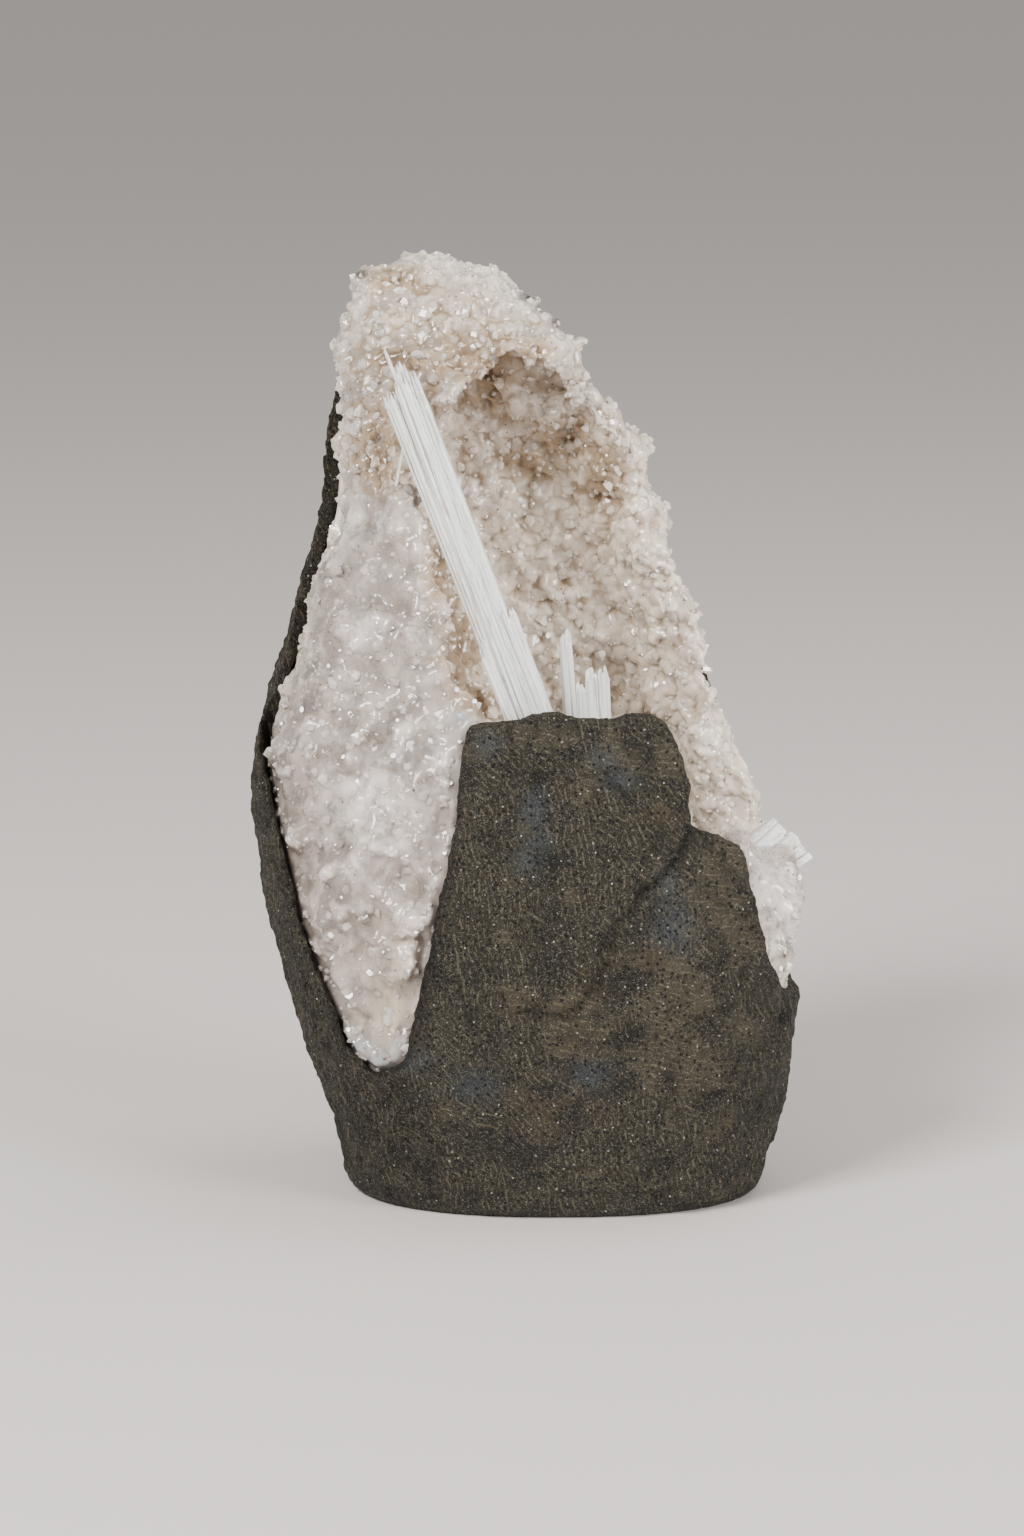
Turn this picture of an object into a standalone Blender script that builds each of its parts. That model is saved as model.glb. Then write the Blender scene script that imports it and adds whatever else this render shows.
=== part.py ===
"""A self-standing scolecite geode, 160 mm tall.

A dark basalt shell holds one quartz crust. The crust lines the hollow with crystal points and shows on
the outside where the basalt has broken away: down the left, over the top and in a lump at the right.
Two sprays of scolecite needles grow from the floor of the hollow, and a broken stub sits on the lump.

The origin is on the flat base, +Z is up and -Y is the open front. Sizes are in millimetres until the
last step, which turns them into metres.
"""

import math
import random

import bmesh
import bpy
from mathutils import Matrix, Vector, noise

MM = 0.001
FIT_GAP = 0.35

# Horizontal sections of the whole stone: height, left, right, front, back.
STONE_SECTIONS = (
    (0.0, -30.0, 39.0, -27.0, 25.0),
    (1.2, -31.5, 40.3, -28.5, 27.0),
    (6.0, -33.8, 42.2, -31.0, 30.0),
    (15.0, -35.8, 43.9, -33.5, 34.0),
    (25.0, -39.2, 45.8, -35.0, 36.5),
    (35.0, -41.7, 47.0, -36.0, 38.0),
    (45.0, -44.0, 49.4, -36.5, 39.0),
    (56.0, -46.3, 49.0, -36.0, 39.5),
    (66.0, -47.2, 44.0, -34.5, 39.5),
    (76.0, -47.0, 39.2, -32.5, 39.0),
    (86.0, -45.0, 35.2, -30.5, 38.0),
    (96.0, -41.8, 33.1, -28.0, 37.0),
    (106.0, -38.0, 28.8, -25.0, 35.0),
    (116.0, -35.9, 24.6, -22.0, 33.0),
    (126.0, -35.4, 21.4, -19.0, 31.0),
    (136.0, -35.4, 15.7, -15.0, 29.0),
    (145.0, -35.8, 10.5, -9.5, 26.5),
    (152.0, -34.4, 5.4, -4.0, 23.0),
    (157.0, -30.8, -1.2, 1.0, 18.5),
    (160.8, -23.6, -8.6, 6.5, 12.5),
)
STONE_SQUARENESS = 2.35

# Lumps of the stone's surface: how many to the millimetre, how high, and where their noise is read.
STONE_LUMPS = (
    (0.030, 1.5, Vector((3.1, 7.7, 1.3))),
    (0.090, 0.95, Vector((9.4, 2.6, 5.1))),
)
FOOT_FADE = (0.5, 8.0)  # heights between which the lumps grow in above the flat foot

# The basalt is thick at the foot and back, and thin where the quartz comes through.
WALL = 4.6
THIN_WALL = 1.7
THIN_SPOTS = (  # centre and reach of each place where the wall thins
    (Vector((-34.0, -16.0, 82.0)), Vector((22.0, 30.0, 62.0))),
    (Vector((45.0, -8.0, 49.0)), Vector((15.0, 18.0, 17.0))),
    (Vector((-16.0, 2.0, 154.0)), Vector((34.0, 28.0, 34.0))),
    (Vector((27.0, 4.0, 104.0)), Vector((18.0, 24.0, 42.0))),
)
QUARTZ_FLOOR = 11.0

# Sections of the hollow, in the same order as the stone's.
HOLLOW_SECTIONS = (
    (46.0, 2.0, 16.0, -14.0, 6.0),
    (49.0, -6.0, 26.0, -21.0, 16.0),
    (56.0, -13.0, 34.0, -25.5, 23.0),
    (66.0, -16.0, 34.0, -25.5, 25.5),
    (76.0, -18.0, 31.5, -24.0, 25.5),
    (86.0, -20.0, 28.5, -22.0, 25.0),
    (96.0, -22.0, 26.5, -20.0, 24.0),
    (106.0, -24.0, 23.0, -18.0, 22.5),
    (116.0, -26.0, 19.5, -15.0, 21.0),
    (126.0, -29.0, 15.0, -12.0, 19.5),
    (134.0, -26.0, 11.0, -9.0, 17.5),
    (141.0, -16.0, 6.5, -5.0, 15.0),
    (146.0, -8.0, 2.5, 0.0, 12.0),
)
HOLLOW_SQUARENESS = 2.1

# The mouth of the hollow, seen from the front, as (x, z): up its scalloped left lip, under the hood,
# down the band at the upper right, then out past the right side and back along the lump and the shield.
MOUTH_OUTLINE = (
    (-7.6, 83.4), (-10.1, 87.5), (-12.6, 90.3), (-15.4, 96.7), (-14.0, 101.5), (-17.1, 106.3),
    (-18.8, 109.5), (-16.4, 112.5), (-19.8, 115.9), (-18.5, 119.5), (-21.5, 121.0), (-25.2, 121.5),
    (-27.4, 125.2), (-26.8, 130.2), (-24.4, 134.2), (-21.0, 137.4), (-16.9, 136.9), (-12.7, 136.2),
    (-10.2, 139.5), (-7.6, 143.0), (-5.1, 144.5), (-0.1, 144.8), (4.6, 142.0), (8.2, 137.5),
    (10.8, 134.0), (13.8, 130.5), (18.0, 128.0), (23.0, 126.5), (31.0, 125.8), (62.0, 125.5),
    (62.0, 56.0), (47.0, 56.6), (43.5, 57.0), (40.0, 59.0), (36.5, 61.0), (32.5, 62.6), (29.0, 65.0),
    (27.0, 69.0), (25.6, 75.0), (23.0, 80.6), (19.0, 83.2), (6.0, 83.6),
)

# Where the basalt is gone, seen from the front: up the left side of the stone, round outside its top
# and right, then back along the right slope, the top and the left edge of the standing shield.
BARE_OUTLINE = (
    (-26.2, 24.6), (-31.3, 29.0), (-33.8, 36.9), (-36.8, 43.5), (-39.2, 50.0), (-40.6, 56.9),
    (-41.7, 61.7), (-43.8, 69.6), (-45.0, 74.2), (-45.9, 78.4), (-44.9, 84.9), (-42.7, 90.6),
    (-40.8, 96.0), (-39.6, 100.8), (-38.0, 107.5), (-36.9, 112.6), (-36.0, 117.7), (-35.6, 124.4),
    (-36.6, 128.0), (-38.6, 132.0), (-40.0, 138.0), (-40.0, 146.0), (-40.0, 154.0), (-40.0, 175.0),
    (64.0, 175.0), (64.0, 33.6), (46.4, 33.4), (44.9, 34.5), (42.9, 37.1),
    (40.5, 43.3), (38.6, 48.9), (36.9, 57.0), (35.5, 62.6), (31.8, 64.9), (28.3, 66.0),
    (26.6, 67.1), (26.3, 71.5), (26.9, 73.9), (25.0, 78.8), (23.3, 83.0), (20.8, 85.4),
    (16.6, 86.0), (11.5, 85.2), (4.9, 86.3), (2.4, 86.5), (-2.6, 85.5), (-6.7, 85.2),
    (-10.1, 84.8), (-10.9, 82.7), (-12.1, 74.5), (-12.4, 68.0), (-13.9, 61.4), (-15.1, 56.3),
    (-16.2, 49.5), (-18.2, 41.8), (-18.9, 37.3), (-20.2, 32.0), (-21.2, 27.4),
)
FRONT_OF_ALL = -42.0

# How far back the break reaches: it slants back to the right and towards the top. The basalt broke
# further back than the quartz, most of all at the right and at the upper left.
BREAK_DEPTH = 4.0
BREAK_SLANT_RIGHT = 0.11
BREAK_SLANT_TOP = 0.17
BREAK_TOP_FROM = 110.0
BASALT_SET_BACK = 3.5
BASALT_SET_BACK_RIGHT = 0.27
BASALT_SET_BACK_TOP = 9.0
UPPER_LEFT = (124.0, 136.0)

# The shield's valley beside the left window, as two (x, z) ends, and the ledge across its right.
VALLEY_ENDS = ((-5.5, 84.0), (-13.5, 26.0))
VALLEY_DEPTH = 1.5
VALLEY_REACH = 4.2
VALLEY_FADE = (80.0, 88.0)
LEDGE_CURVE = ((27.0, 67.0), (20.5, 56.0), (13.5, 44.0), (4.0, 35.0), (-6.0, 34.5))
LEDGE_DROP = 1.3
LEDGE_EDGE = (-0.6, 1.2)
LEDGE_REACH = (2.0, 9.0)

# Crystal points inside the hollow: one on each of its faces.
HOLLOW_FACES = 1080
HOLLOW_VOXEL = 1.8
HOLLOW_SMOOTHING = 4
POINT_HEIGHTS = (1.1, 2.6)
POINT_STEEPNESS = 1.1  # the most that a point may rise, over its face's width

# Crystal points on the bare outside of the quartz, below the smooth top of the stone.
SKIN_DEPTHS = (-1.4, 0.2)
SKIN_JITTER = 0.18
SKIN_ROOM = 4.0
SKIN_POINT_HEIGHTS = (0.7, 1.7)
SKIN_POINT_SHARE = 0.45
POINTS_BELOW = 151.0

# Scolecite laths: foot and tip of the lath's middle line, then its half width and half thickness.
LARGE_SPRAY = (
    ((14.8, -19.3, 45.5), (-21.4, -14.6, 141.6), 3.3, 2.3),
    ((13.4, -18.6, 45.2), (-22.9, -13.8, 143.4), 1.9, 2.3),
    ((16.3, -19.6, 45.8), (-19.6, -14.9, 138.6), 2.0, 1.7),
    ((11.8, -19.4, 45.6), (-24.3, -14.5, 139.4), 1.5, 1.4),
    ((17.8, -18.9, 46.2), (-3.4, -17.6, 103.2), 1.5, 1.6),
    ((11.6, -20.2, 45.8), (-9.2, -18.4, 98.2), 1.4, 1.3),
    ((14.0, -17.0, 45.4), (-16.0, -12.6, 127.5), 2.3, 1.8),
    ((15.6, -21.0, 46.2), (-12.8, -17.2, 119.0), 1.7, 1.2),
    ((14.2, -18.4, 46.0), (-24.6, -13.6, 146.2), 0.45, 0.45),
)
SMALL_SPRAY = (
    ((9.4, -7.2, 46.0), (6.0, -9.2, 98.0), 1.2, 1.5),
    ((10.6, -6.8, 46.0), (8.0, -8.8, 90.6), 1.5, 1.7),
    ((11.9, -7.0, 46.0), (10.4, -8.8, 92.2), 1.5, 1.6),
    ((13.6, -6.8, 46.2), (12.6, -8.4, 91.0), 1.4, 1.3),
)
BROKEN_STUB = (
    ((34.6, -7.0, 57.2), (42.6, -3.8, 63.6), 2.2, 2.0),
    ((36.6, -6.6, 56.6), (44.4, -3.2, 61.6), 1.9, 2.2),
    ((40.0, -6.0, 54.4), (48.0, -3.0, 58.6), 2.0, 1.9),
    ((38.4, -5.0, 54.6), (46.2, -1.0, 60.2), 1.7, 1.8),
)
LATH_SIDES = 6
LATH_TAPER = 0.74
CHISEL = 0.6  # how far a lath's tip slants, over its half width
STUB_TAPER = 0.95

# How finely the stone's outside and its inside are faceted.
SHELL_SEGMENTS = 44
SHELL_SPLITS = 2
CORE_SEGMENTS = 30
SHORT_GAP = 4.0  # sections closer than this are not split

BASALT_COLOUR = (0.060, 0.053, 0.043, 1.0)
QUARTZ_COLOUR = (0.640, 0.585, 0.540, 1.0)
SCOLECITE_COLOUR = (0.860, 0.850, 0.835, 1.0)


def material(name, colour, roughness):
    """A plain finish for one mineral."""
    made = bpy.data.materials.new(name)
    made.use_nodes = True
    shader = made.node_tree.nodes["Principled BSDF"]
    shader.inputs["Base Color"].default_value = colour
    shader.inputs["Roughness"].default_value = roughness
    shader.inputs["Metallic"].default_value = 0.0
    return made


def add_object(name, bm):
    """Links a new object that holds bm's mesh, and frees bm."""
    mesh = bpy.data.meshes.new(name)
    bm.to_mesh(mesh)
    bm.free()
    obj = bpy.data.objects.new(name, mesh)
    bpy.context.scene.collection.objects.link(obj)
    return obj


def apply_modifiers(obj):
    """Replaces an object's mesh by what its modifiers make of it."""
    graph = bpy.context.evaluated_depsgraph_get()
    obj.data = bpy.data.meshes.new_from_object(obj.evaluated_get(graph), depsgraph=graph)
    obj.modifiers.clear()


def combine(obj, others, operation):
    """Unions, subtracts or intersects the other objects, which are then removed."""
    for other in others:
        modifier = obj.modifiers.new(operation, "BOOLEAN")
        modifier.operation = operation
        modifier.solver = "EXACT"
        modifier.object = other
        apply_modifiers(obj)
        bpy.data.objects.remove(other)
    return obj


def keep_largest(obj):
    """Removes every loose crumb that a cut left beside an object's main body."""
    bm = bmesh.new()
    bm.from_mesh(obj.data)
    left = set(bm.verts)
    bodies = []
    while left:
        body, edge = set(), {left.pop()}
        while edge:
            body |= edge
            edge = {e.other_vert(vert) for vert in edge for e in vert.link_edges} - body
        left -= body
        bodies.append(body)
    main_body = max(bodies, key=len)
    crumbs = [vert for vert in bm.verts if vert not in main_body]
    bmesh.ops.delete(bm, geom=crumbs, context="VERTS")
    bm.to_mesh(obj.data)
    bm.free()
    return obj


def section_at(sections, height):
    """The left, right, front and back of a smooth curve through the sections at one height."""
    last = len(sections) - 2
    i = next((k for k in range(last) if height <= sections[k + 1][0]), last)
    before, low = sections[max(i - 1, 0)], sections[i]
    high, after = sections[i + 1], sections[min(i + 2, last + 1)]
    span = high[0] - low[0]
    t = (height - low[0]) / span
    found = []
    for side in range(1, 5):
        low_slope = (high[side] - before[side]) / (high[0] - before[0]) * span
        high_slope = (after[side] - low[side]) / (after[0] - low[0]) * span
        found.append(
            (2 * t**3 - 3 * t**2 + 1) * low[side]
            + (t**3 - 2 * t**2 + t) * low_slope
            + (3 * t**2 - 2 * t**3) * high[side]
            + (t**3 - t**2) * high_slope
        )
    return found


def rim_point(turn, section, height, squareness):
    """The point at one turn of a rounded-square section."""
    left, right, front, back = section
    cosine, sine = math.cos(turn), math.sin(turn)
    reach = (abs(cosine) ** squareness + abs(sine) ** squareness) ** (-1.0 / squareness)
    x = (left + right) / 2 + (right - left) / 2 * reach * cosine
    y = (front + back) / 2 + (back - front) / 2 * reach * sine
    return Vector((x, y, height))


def sections_from(sections, foot):
    """The sections above a new lowest one at the height foot."""
    above = [section for section in sections if section[0] > foot]
    return [(foot, *section_at(sections, foot))] + above


def loft(sections, squareness, segments, splits):
    """A closed body through the sections, with each tall gap between two of them split."""
    heights = [sections[0][0]]
    for low, high in zip(sections, sections[1:]):
        parts = splits if high[0] - low[0] > SHORT_GAP else 1
        heights += [low[0] + (high[0] - low[0]) * (k + 1) / parts for k in range(parts)]
    bm = bmesh.new()
    below = None
    for height in heights:
        section = section_at(sections, height)
        ring = bmesh.ops.create_circle(bm, segments=segments, radius=1.0)["verts"]
        edges = list({edge for vert in ring for edge in vert.link_edges})
        for vert in ring:
            turn = math.atan2(vert.co.y, vert.co.x)
            vert.co = rim_point(turn, section, height, squareness)
        if below is None:
            bmesh.ops.contextual_create(bm, geom=edges)
        else:
            bmesh.ops.bridge_loops(bm, edges=below + edges)
        below = edges
    bmesh.ops.contextual_create(bm, geom=below)
    bmesh.ops.recalc_face_normals(bm, faces=bm.faces)
    return bm


def smooth_step(low, high, value):
    """0 below low, 1 above high, and a smooth rise between them."""
    t = min(max((value - low) / (high - low), 0.0), 1.0)
    return t * t * (3.0 - 2.0 * t)


def nearest_on_curve(x, z, curve):
    """The side of an (x, z) curve that a point lies on, with its distance, and how far along."""
    best = None
    for i, (start, end) in enumerate(zip(curve, curve[1:])):
        along_x, along_z = end[0] - start[0], end[1] - start[1]
        length = math.hypot(along_x, along_z)
        t = ((x - start[0]) * along_x + (z - start[1]) * along_z) / length**2
        t = min(max(t, 0.0), 1.0)
        off_x, off_z = x - start[0] - along_x * t, z - start[1] - along_z * t
        side = math.copysign(1.0, along_x * off_z - along_z * off_x)
        distance = math.hypot(off_x, off_z)
        if best is None or distance < best[0]:
            best = (distance, side, (i + t) / (len(curve) - 1))
    distance, side, share = best
    return distance * side, share


def stone_relief(point):
    """How far the stone's surface stands out at a point: its broad lumps, valley and ledge."""
    relief = sum(noise.noise(point * pitch + at) * height for pitch, height, at in STONE_LUMPS)
    if point.y < 0.0:
        off, _ = nearest_on_curve(point.x, point.z, VALLEY_ENDS)
        in_shield = 1.0 - smooth_step(*VALLEY_FADE, point.z)
        relief -= VALLEY_DEPTH * in_shield * math.exp(-((off / VALLEY_REACH) ** 2))
        off, share = nearest_on_curve(point.x, point.z, LEDGE_CURVE)
        below_ledge = smooth_step(*LEDGE_EDGE, off) * (1.0 - smooth_step(*LEDGE_REACH, off))
        relief -= LEDGE_DROP * below_ledge * math.sqrt(1.0 - share)
    return relief * smooth_step(*FOOT_FADE, point.z)


def stone_body(segments, splits, foot=0.0):
    """The whole stone above the height foot, as one closed body with a flat underside."""
    bm = loft(sections_from(STONE_SECTIONS, foot), STONE_SQUARENESS, segments, splits)
    bm.normal_update()
    moves = {vert: vert.normal * stone_relief(vert.co) for vert in bm.verts}
    for vert, move in moves.items():
        if vert.co.z <= foot:
            move.z = 0.0
        vert.co += move
    return bm


def wall_at(point):
    """The thickness of the basalt at a point of the stone's surface."""
    thin = 0.0
    for centre, reach in THIN_SPOTS:
        away = point - centre
        square = sum((away[i] / reach[i]) ** 2 for i in range(3))
        thin = max(thin, math.exp(-(square**2) / 2.0))
    return WALL - (WALL - THIN_WALL) * thin


def core_body(gap):
    """The stone inside its basalt wall, drawn in by a further gap."""
    bm = stone_body(CORE_SEGMENTS, 1, QUARTZ_FLOOR)
    bmesh.ops.triangulate(bm, faces=bm.faces)
    bm.normal_update()
    moves = {}
    for vert in bm.verts:
        inward = -vert.normal
        if vert.co.z <= QUARTZ_FLOOR:
            inward = Vector((inward.x, inward.y, 0.0)).normalized()
        moves[vert] = inward * (wall_at(vert.co) + gap)
        if vert.co.z <= QUARTZ_FLOOR:
            moves[vert].z = gap
    for vert, move in moves.items():
        vert.co += move
    return bm


def break_depth(x, z):
    """The y at which the break across the quartz stops."""
    top = max(0.0, z - BREAK_TOP_FROM)
    return BREAK_DEPTH + BREAK_SLANT_RIGHT * x + BREAK_SLANT_TOP * top


def basalt_break_depth(x, z):
    """The y at which the break across the basalt stops."""
    set_back = BASALT_SET_BACK + BASALT_SET_BACK_RIGHT * max(0.0, x)
    if x < 0.0:
        set_back += BASALT_SET_BACK_TOP * smooth_step(*UPPER_LEFT, z)
    return break_depth(x, z) + set_back


def broken_away(name, outline, depth):
    """The prism that the break takes from the front of the stone, inside an (x, z) outline."""
    bm = bmesh.new()
    front = [bm.verts.new((x, FRONT_OF_ALL, z)) for x, z in outline]
    face = bm.faces.new(front)
    grown = bmesh.ops.extrude_face_region(bm, geom=[face])["geom"]
    for part in grown:
        if isinstance(part, bmesh.types.BMVert):
            part.co.y = depth(part.co.x, part.co.z)
    bmesh.ops.recalc_face_normals(bm, faces=bm.faces)
    return add_object(name, bm)


def raise_points(bm, faces, heights, rng, inward):
    """Makes each face a crystal point of its own height."""
    bm.normal_update()
    poked = bmesh.ops.poke(bm, faces=faces, center_mode="MEAN")
    bm.normal_update()
    for vert in poked["verts"]:
        area = sum(face.calc_area() for face in vert.link_faces)
        rim = {edge for face in vert.link_faces for edge in face.edges} - set(vert.link_edges)
        room = 2.0 * area / sum(edge.calc_length() for edge in rim)
        height = min(rng.uniform(*heights), room * POINT_STEEPNESS)
        vert.co += vert.normal * height * (-1.0 if inward else 1.0)


def hollow_air():
    """The air of the hollow and of its mouth, dented by the crystal points that stand into it."""
    air = add_object("air", loft(HOLLOW_SECTIONS, HOLLOW_SQUARENESS, CORE_SEGMENTS, 1))
    combine(air, [broken_away("mouth", MOUTH_OUTLINE, break_depth)], "UNION")
    remesh = air.modifiers.new("even faces", "REMESH")
    remesh.mode = "VOXEL"
    remesh.voxel_size = HOLLOW_VOXEL
    soften = air.modifiers.new("soften", "SMOOTH")
    soften.iterations = HOLLOW_SMOOTHING
    apply_modifiers(air)
    thin = air.modifiers.new("few faces", "DECIMATE")
    thin.ratio = HOLLOW_FACES / sum(len(face.vertices) - 2 for face in air.data.polygons)
    apply_modifiers(air)
    rng = random.Random(11)
    bm = bmesh.new()
    bm.from_mesh(air.data)
    bmesh.ops.triangulate(bm, faces=bm.faces)
    raise_points(bm, list(bm.faces), POINT_HEIGHTS, rng, inward=True)
    bm.to_mesh(air.data)
    bm.free()
    return air


def is_bare(point):
    """Whether the basalt is broken away over a point of the stone's front."""
    if point.y > break_depth(point.x, point.z):
        return False
    inside = False
    for (x0, z0), (x1, z1) in zip(BARE_OUTLINE, BARE_OUTLINE[1:] + BARE_OUTLINE[:1]):
        if (z0 > point.z) != (z1 > point.z):
            if point.x < x0 + (point.z - z0) * (x1 - x0) / (z1 - z0):
                inside = not inside
    return inside


def faceted_core():
    """The quartz before it is hollowed: crystal points where it shows, and plain behind the basalt."""
    rng = random.Random(5)
    bm = core_body(FIT_GAP)
    bare = [face for face in bm.faces if is_bare(face.calc_center_median())]
    edges = list({edge for face in bare for edge in face.edges})
    bmesh.ops.subdivide_edges(bm, edges=edges, cuts=1, use_grid_fill=True)
    bm.normal_update()
    shown = [vert for vert in bm.verts if is_bare(vert.co) and vert.co.z < POINTS_BELOW]
    shown = [vert for vert in shown if all(is_bare(e.other_vert(vert).co) for e in vert.link_edges)]
    moves = {}
    for vert in shown:
        room = min(edge.calc_length() for edge in vert.link_edges)
        shift = Vector(rng.uniform(-1.0, 1.0) for _ in range(3)) * room * SKIN_JITTER
        shift -= vert.normal * shift.dot(vert.normal)
        moves[vert] = shift + vert.normal * rng.uniform(*SKIN_DEPTHS) * min(room / SKIN_ROOM, 1.0)
    for vert, move in moves.items():
        vert.co += move
    inside = set(shown)
    faces = [face for face in bm.faces if inside.issuperset(face.verts)]
    faces = [face for face in faces if rng.random() < SKIN_POINT_SHARE]
    raise_points(bm, faces, SKIN_POINT_HEIGHTS, rng, inward=False)
    return add_object("quartz_crust", bm)


def lath(foot, tip, half_width, half_depth, grow, taper):
    """One scolecite lath: a flat six-sided prism with a chisel tip."""
    foot, tip = Vector(foot), Vector(tip)
    along = (tip - foot).normalized()
    across = Vector((0.0, 1.0, 0.0)).cross(along).normalized()
    frame = Matrix((across, along.cross(across), along)).transposed().to_4x4()
    length = (tip - foot).length + 2.0 * grow
    bm = bmesh.new()
    ring = bmesh.ops.create_circle(bm, segments=LATH_SIDES, radius=1.0, cap_ends=True)["verts"]
    for vert in ring:
        vert.co.x *= half_width + grow
        vert.co.y *= half_depth + grow
    grown = bmesh.ops.extrude_face_region(bm, geom=list(bm.faces))["geom"]
    top = [part for part in grown if isinstance(part, bmesh.types.BMVert)]
    for vert in top:
        vert.co.x *= taper
        vert.co.y *= taper
        vert.co.z = length - half_width * CHISEL * (1.0 + vert.co.x / (half_width + grow))
    bmesh.ops.recalc_face_normals(bm, faces=bm.faces)
    bmesh.ops.transform(bm, matrix=Matrix.Translation(foot - along * grow) @ frame, verts=bm.verts)
    return add_object("lath", bm)


def spray(name, laths, taper, grow=0.0):
    """Laths grown together into one solid."""
    solids = [lath(*sizes, grow, taper) for sizes in laths]
    joined = combine(solids[0], solids[1:], "UNION")
    joined.name = name
    return joined


def basalt_matrix():
    """The dark rock: the stone's wall, less what has broken away."""
    shell = add_object("basalt_matrix", stone_body(SHELL_SEGMENTS, SHELL_SPLITS))
    core = add_object("core", core_body(0.0))
    bare = broken_away("bare", BARE_OUTLINE, basalt_break_depth)
    return keep_largest(combine(shell, [core, bare], "DIFFERENCE"))


def quartz_crust(sprays):
    """The quartz: its outside, hollowed, with a seat for the foot of each spray."""
    crust = faceted_core()
    combine(crust, [hollow_air()], "DIFFERENCE")
    seats = [spray("seat", laths, taper, FIT_GAP) for laths, taper in sprays]
    return keep_largest(combine(crust, seats, "DIFFERENCE"))


def main():
    """Builds the geode."""
    for obj in list(bpy.data.objects):
        bpy.data.objects.remove(obj)
    basalt = material("basalt", BASALT_COLOUR, 0.85)
    quartz = material("quartz", QUARTZ_COLOUR, 0.30)
    white = material("scolecite", SCOLECITE_COLOUR, 0.38)
    sprays = (
        ("scolecite_large_spray", LARGE_SPRAY, LATH_TAPER),
        ("scolecite_small_spray", SMALL_SPRAY, LATH_TAPER),
        ("scolecite_broken_stub", BROKEN_STUB, STUB_TAPER),
    )
    pieces = [
        (basalt_matrix(), basalt),
        (quartz_crust([(laths, taper) for _, laths, taper in sprays]), quartz),
    ]
    pieces += [(spray(name, laths, taper), white) for name, laths, taper in sprays]
    for piece, finish in pieces:
        piece.data.transform(Matrix.Scale(MM, 4))
        piece.data.materials.clear()
        piece.data.materials.append(finish)


main()
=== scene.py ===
"""The looks of a self-standing scolecite geode.

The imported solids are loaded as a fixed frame, in metres, with +Z up and the open front towards -Y. Each
mineral is a class that models its own surface over its solid and dresses it: the dark pitted basalt, the
quartz druse, and the white needles of scolecite. Sizes in the classes are in millimetres.
"""

from __future__ import annotations

import logging
import math
from collections.abc import Callable, Sequence
from dataclasses import dataclass, field
from enum import Enum

import bmesh
import bpy
import numpy as np
from mathutils import Matrix, Vector, noise
from mathutils.bvhtree import BVHTree

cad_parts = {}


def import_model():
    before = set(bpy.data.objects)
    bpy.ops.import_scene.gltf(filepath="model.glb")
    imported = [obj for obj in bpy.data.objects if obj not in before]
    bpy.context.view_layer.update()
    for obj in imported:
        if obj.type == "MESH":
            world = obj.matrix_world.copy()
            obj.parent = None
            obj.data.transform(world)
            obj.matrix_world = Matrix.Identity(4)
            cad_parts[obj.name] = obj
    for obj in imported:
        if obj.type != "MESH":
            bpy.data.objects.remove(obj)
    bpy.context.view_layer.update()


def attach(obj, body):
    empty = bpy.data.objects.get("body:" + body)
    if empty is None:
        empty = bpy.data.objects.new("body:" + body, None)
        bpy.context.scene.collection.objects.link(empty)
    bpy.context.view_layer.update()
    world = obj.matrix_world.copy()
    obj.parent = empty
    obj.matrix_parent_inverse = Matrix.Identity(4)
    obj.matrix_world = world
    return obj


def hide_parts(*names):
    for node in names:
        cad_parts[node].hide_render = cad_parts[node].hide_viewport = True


LOG = logging.getLogger("geode")
MM = 0.001
WANDER_SHIFTS = (Vector((9.3, -1.5, -7.9)), Vector((0.3, 2.6, 4.2)), Vector((-3.8, 5.1, 6.4)))

Triple = tuple[float, float, float]
Colour = Triple
Value = "Signal | float | Colour"
# From low to high.
Range = tuple[float, float]
# The size and the height of a set of lumps.
Lumps = tuple[float, float]
# Across and up on the picture plane.
Place = tuple[float, float]
# Across, up, half width and half height on the picture plane.
Spot = tuple[float, float, float, float]


# Shader maths


@dataclass(frozen=True)
class Signal:
    """One output socket of a material's nodes, with arithmetic."""

    recipe: Recipe
    socket: bpy.types.NodeSocket

    def _math(self, operation: str, first: Value, second: Value = 0.0, clamp: bool = False) -> Signal:
        """A Math node over two values."""
        settings = {"operation": operation, "use_clamp": clamp}
        return self.recipe.node("ShaderNodeMath", settings, {0: first, 1: second})

    def __add__(self, other: Value) -> Signal:
        """The sum of two values."""
        return self._math("ADD", self, other)

    __radd__ = __add__

    def __mul__(self, other: Value) -> Signal:
        """The product of two values."""
        return self._math("MULTIPLY", self, other)

    __rmul__ = __mul__

    def __sub__(self, other: Value) -> Signal:
        """This value less another."""
        return self._math("SUBTRACT", self, other)

    def __rsub__(self, other: Value) -> Signal:
        """Another value less this one."""
        return self._math("SUBTRACT", other, self)

    def clamped(self) -> Signal:
        """This value held between 0 and 1."""
        return self._math("ADD", self, 0.0, clamp=True)

    def between(self, low: float, high: float) -> Signal:
        """A smooth rise from 0 at low to 1 at high; low may be the greater."""
        values = {"Value": self, "From Min": low, "From Max": high}
        return self.recipe.node("ShaderNodeMapRange", {"interpolation_type": "SMOOTHSTEP"}, values)


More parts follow.
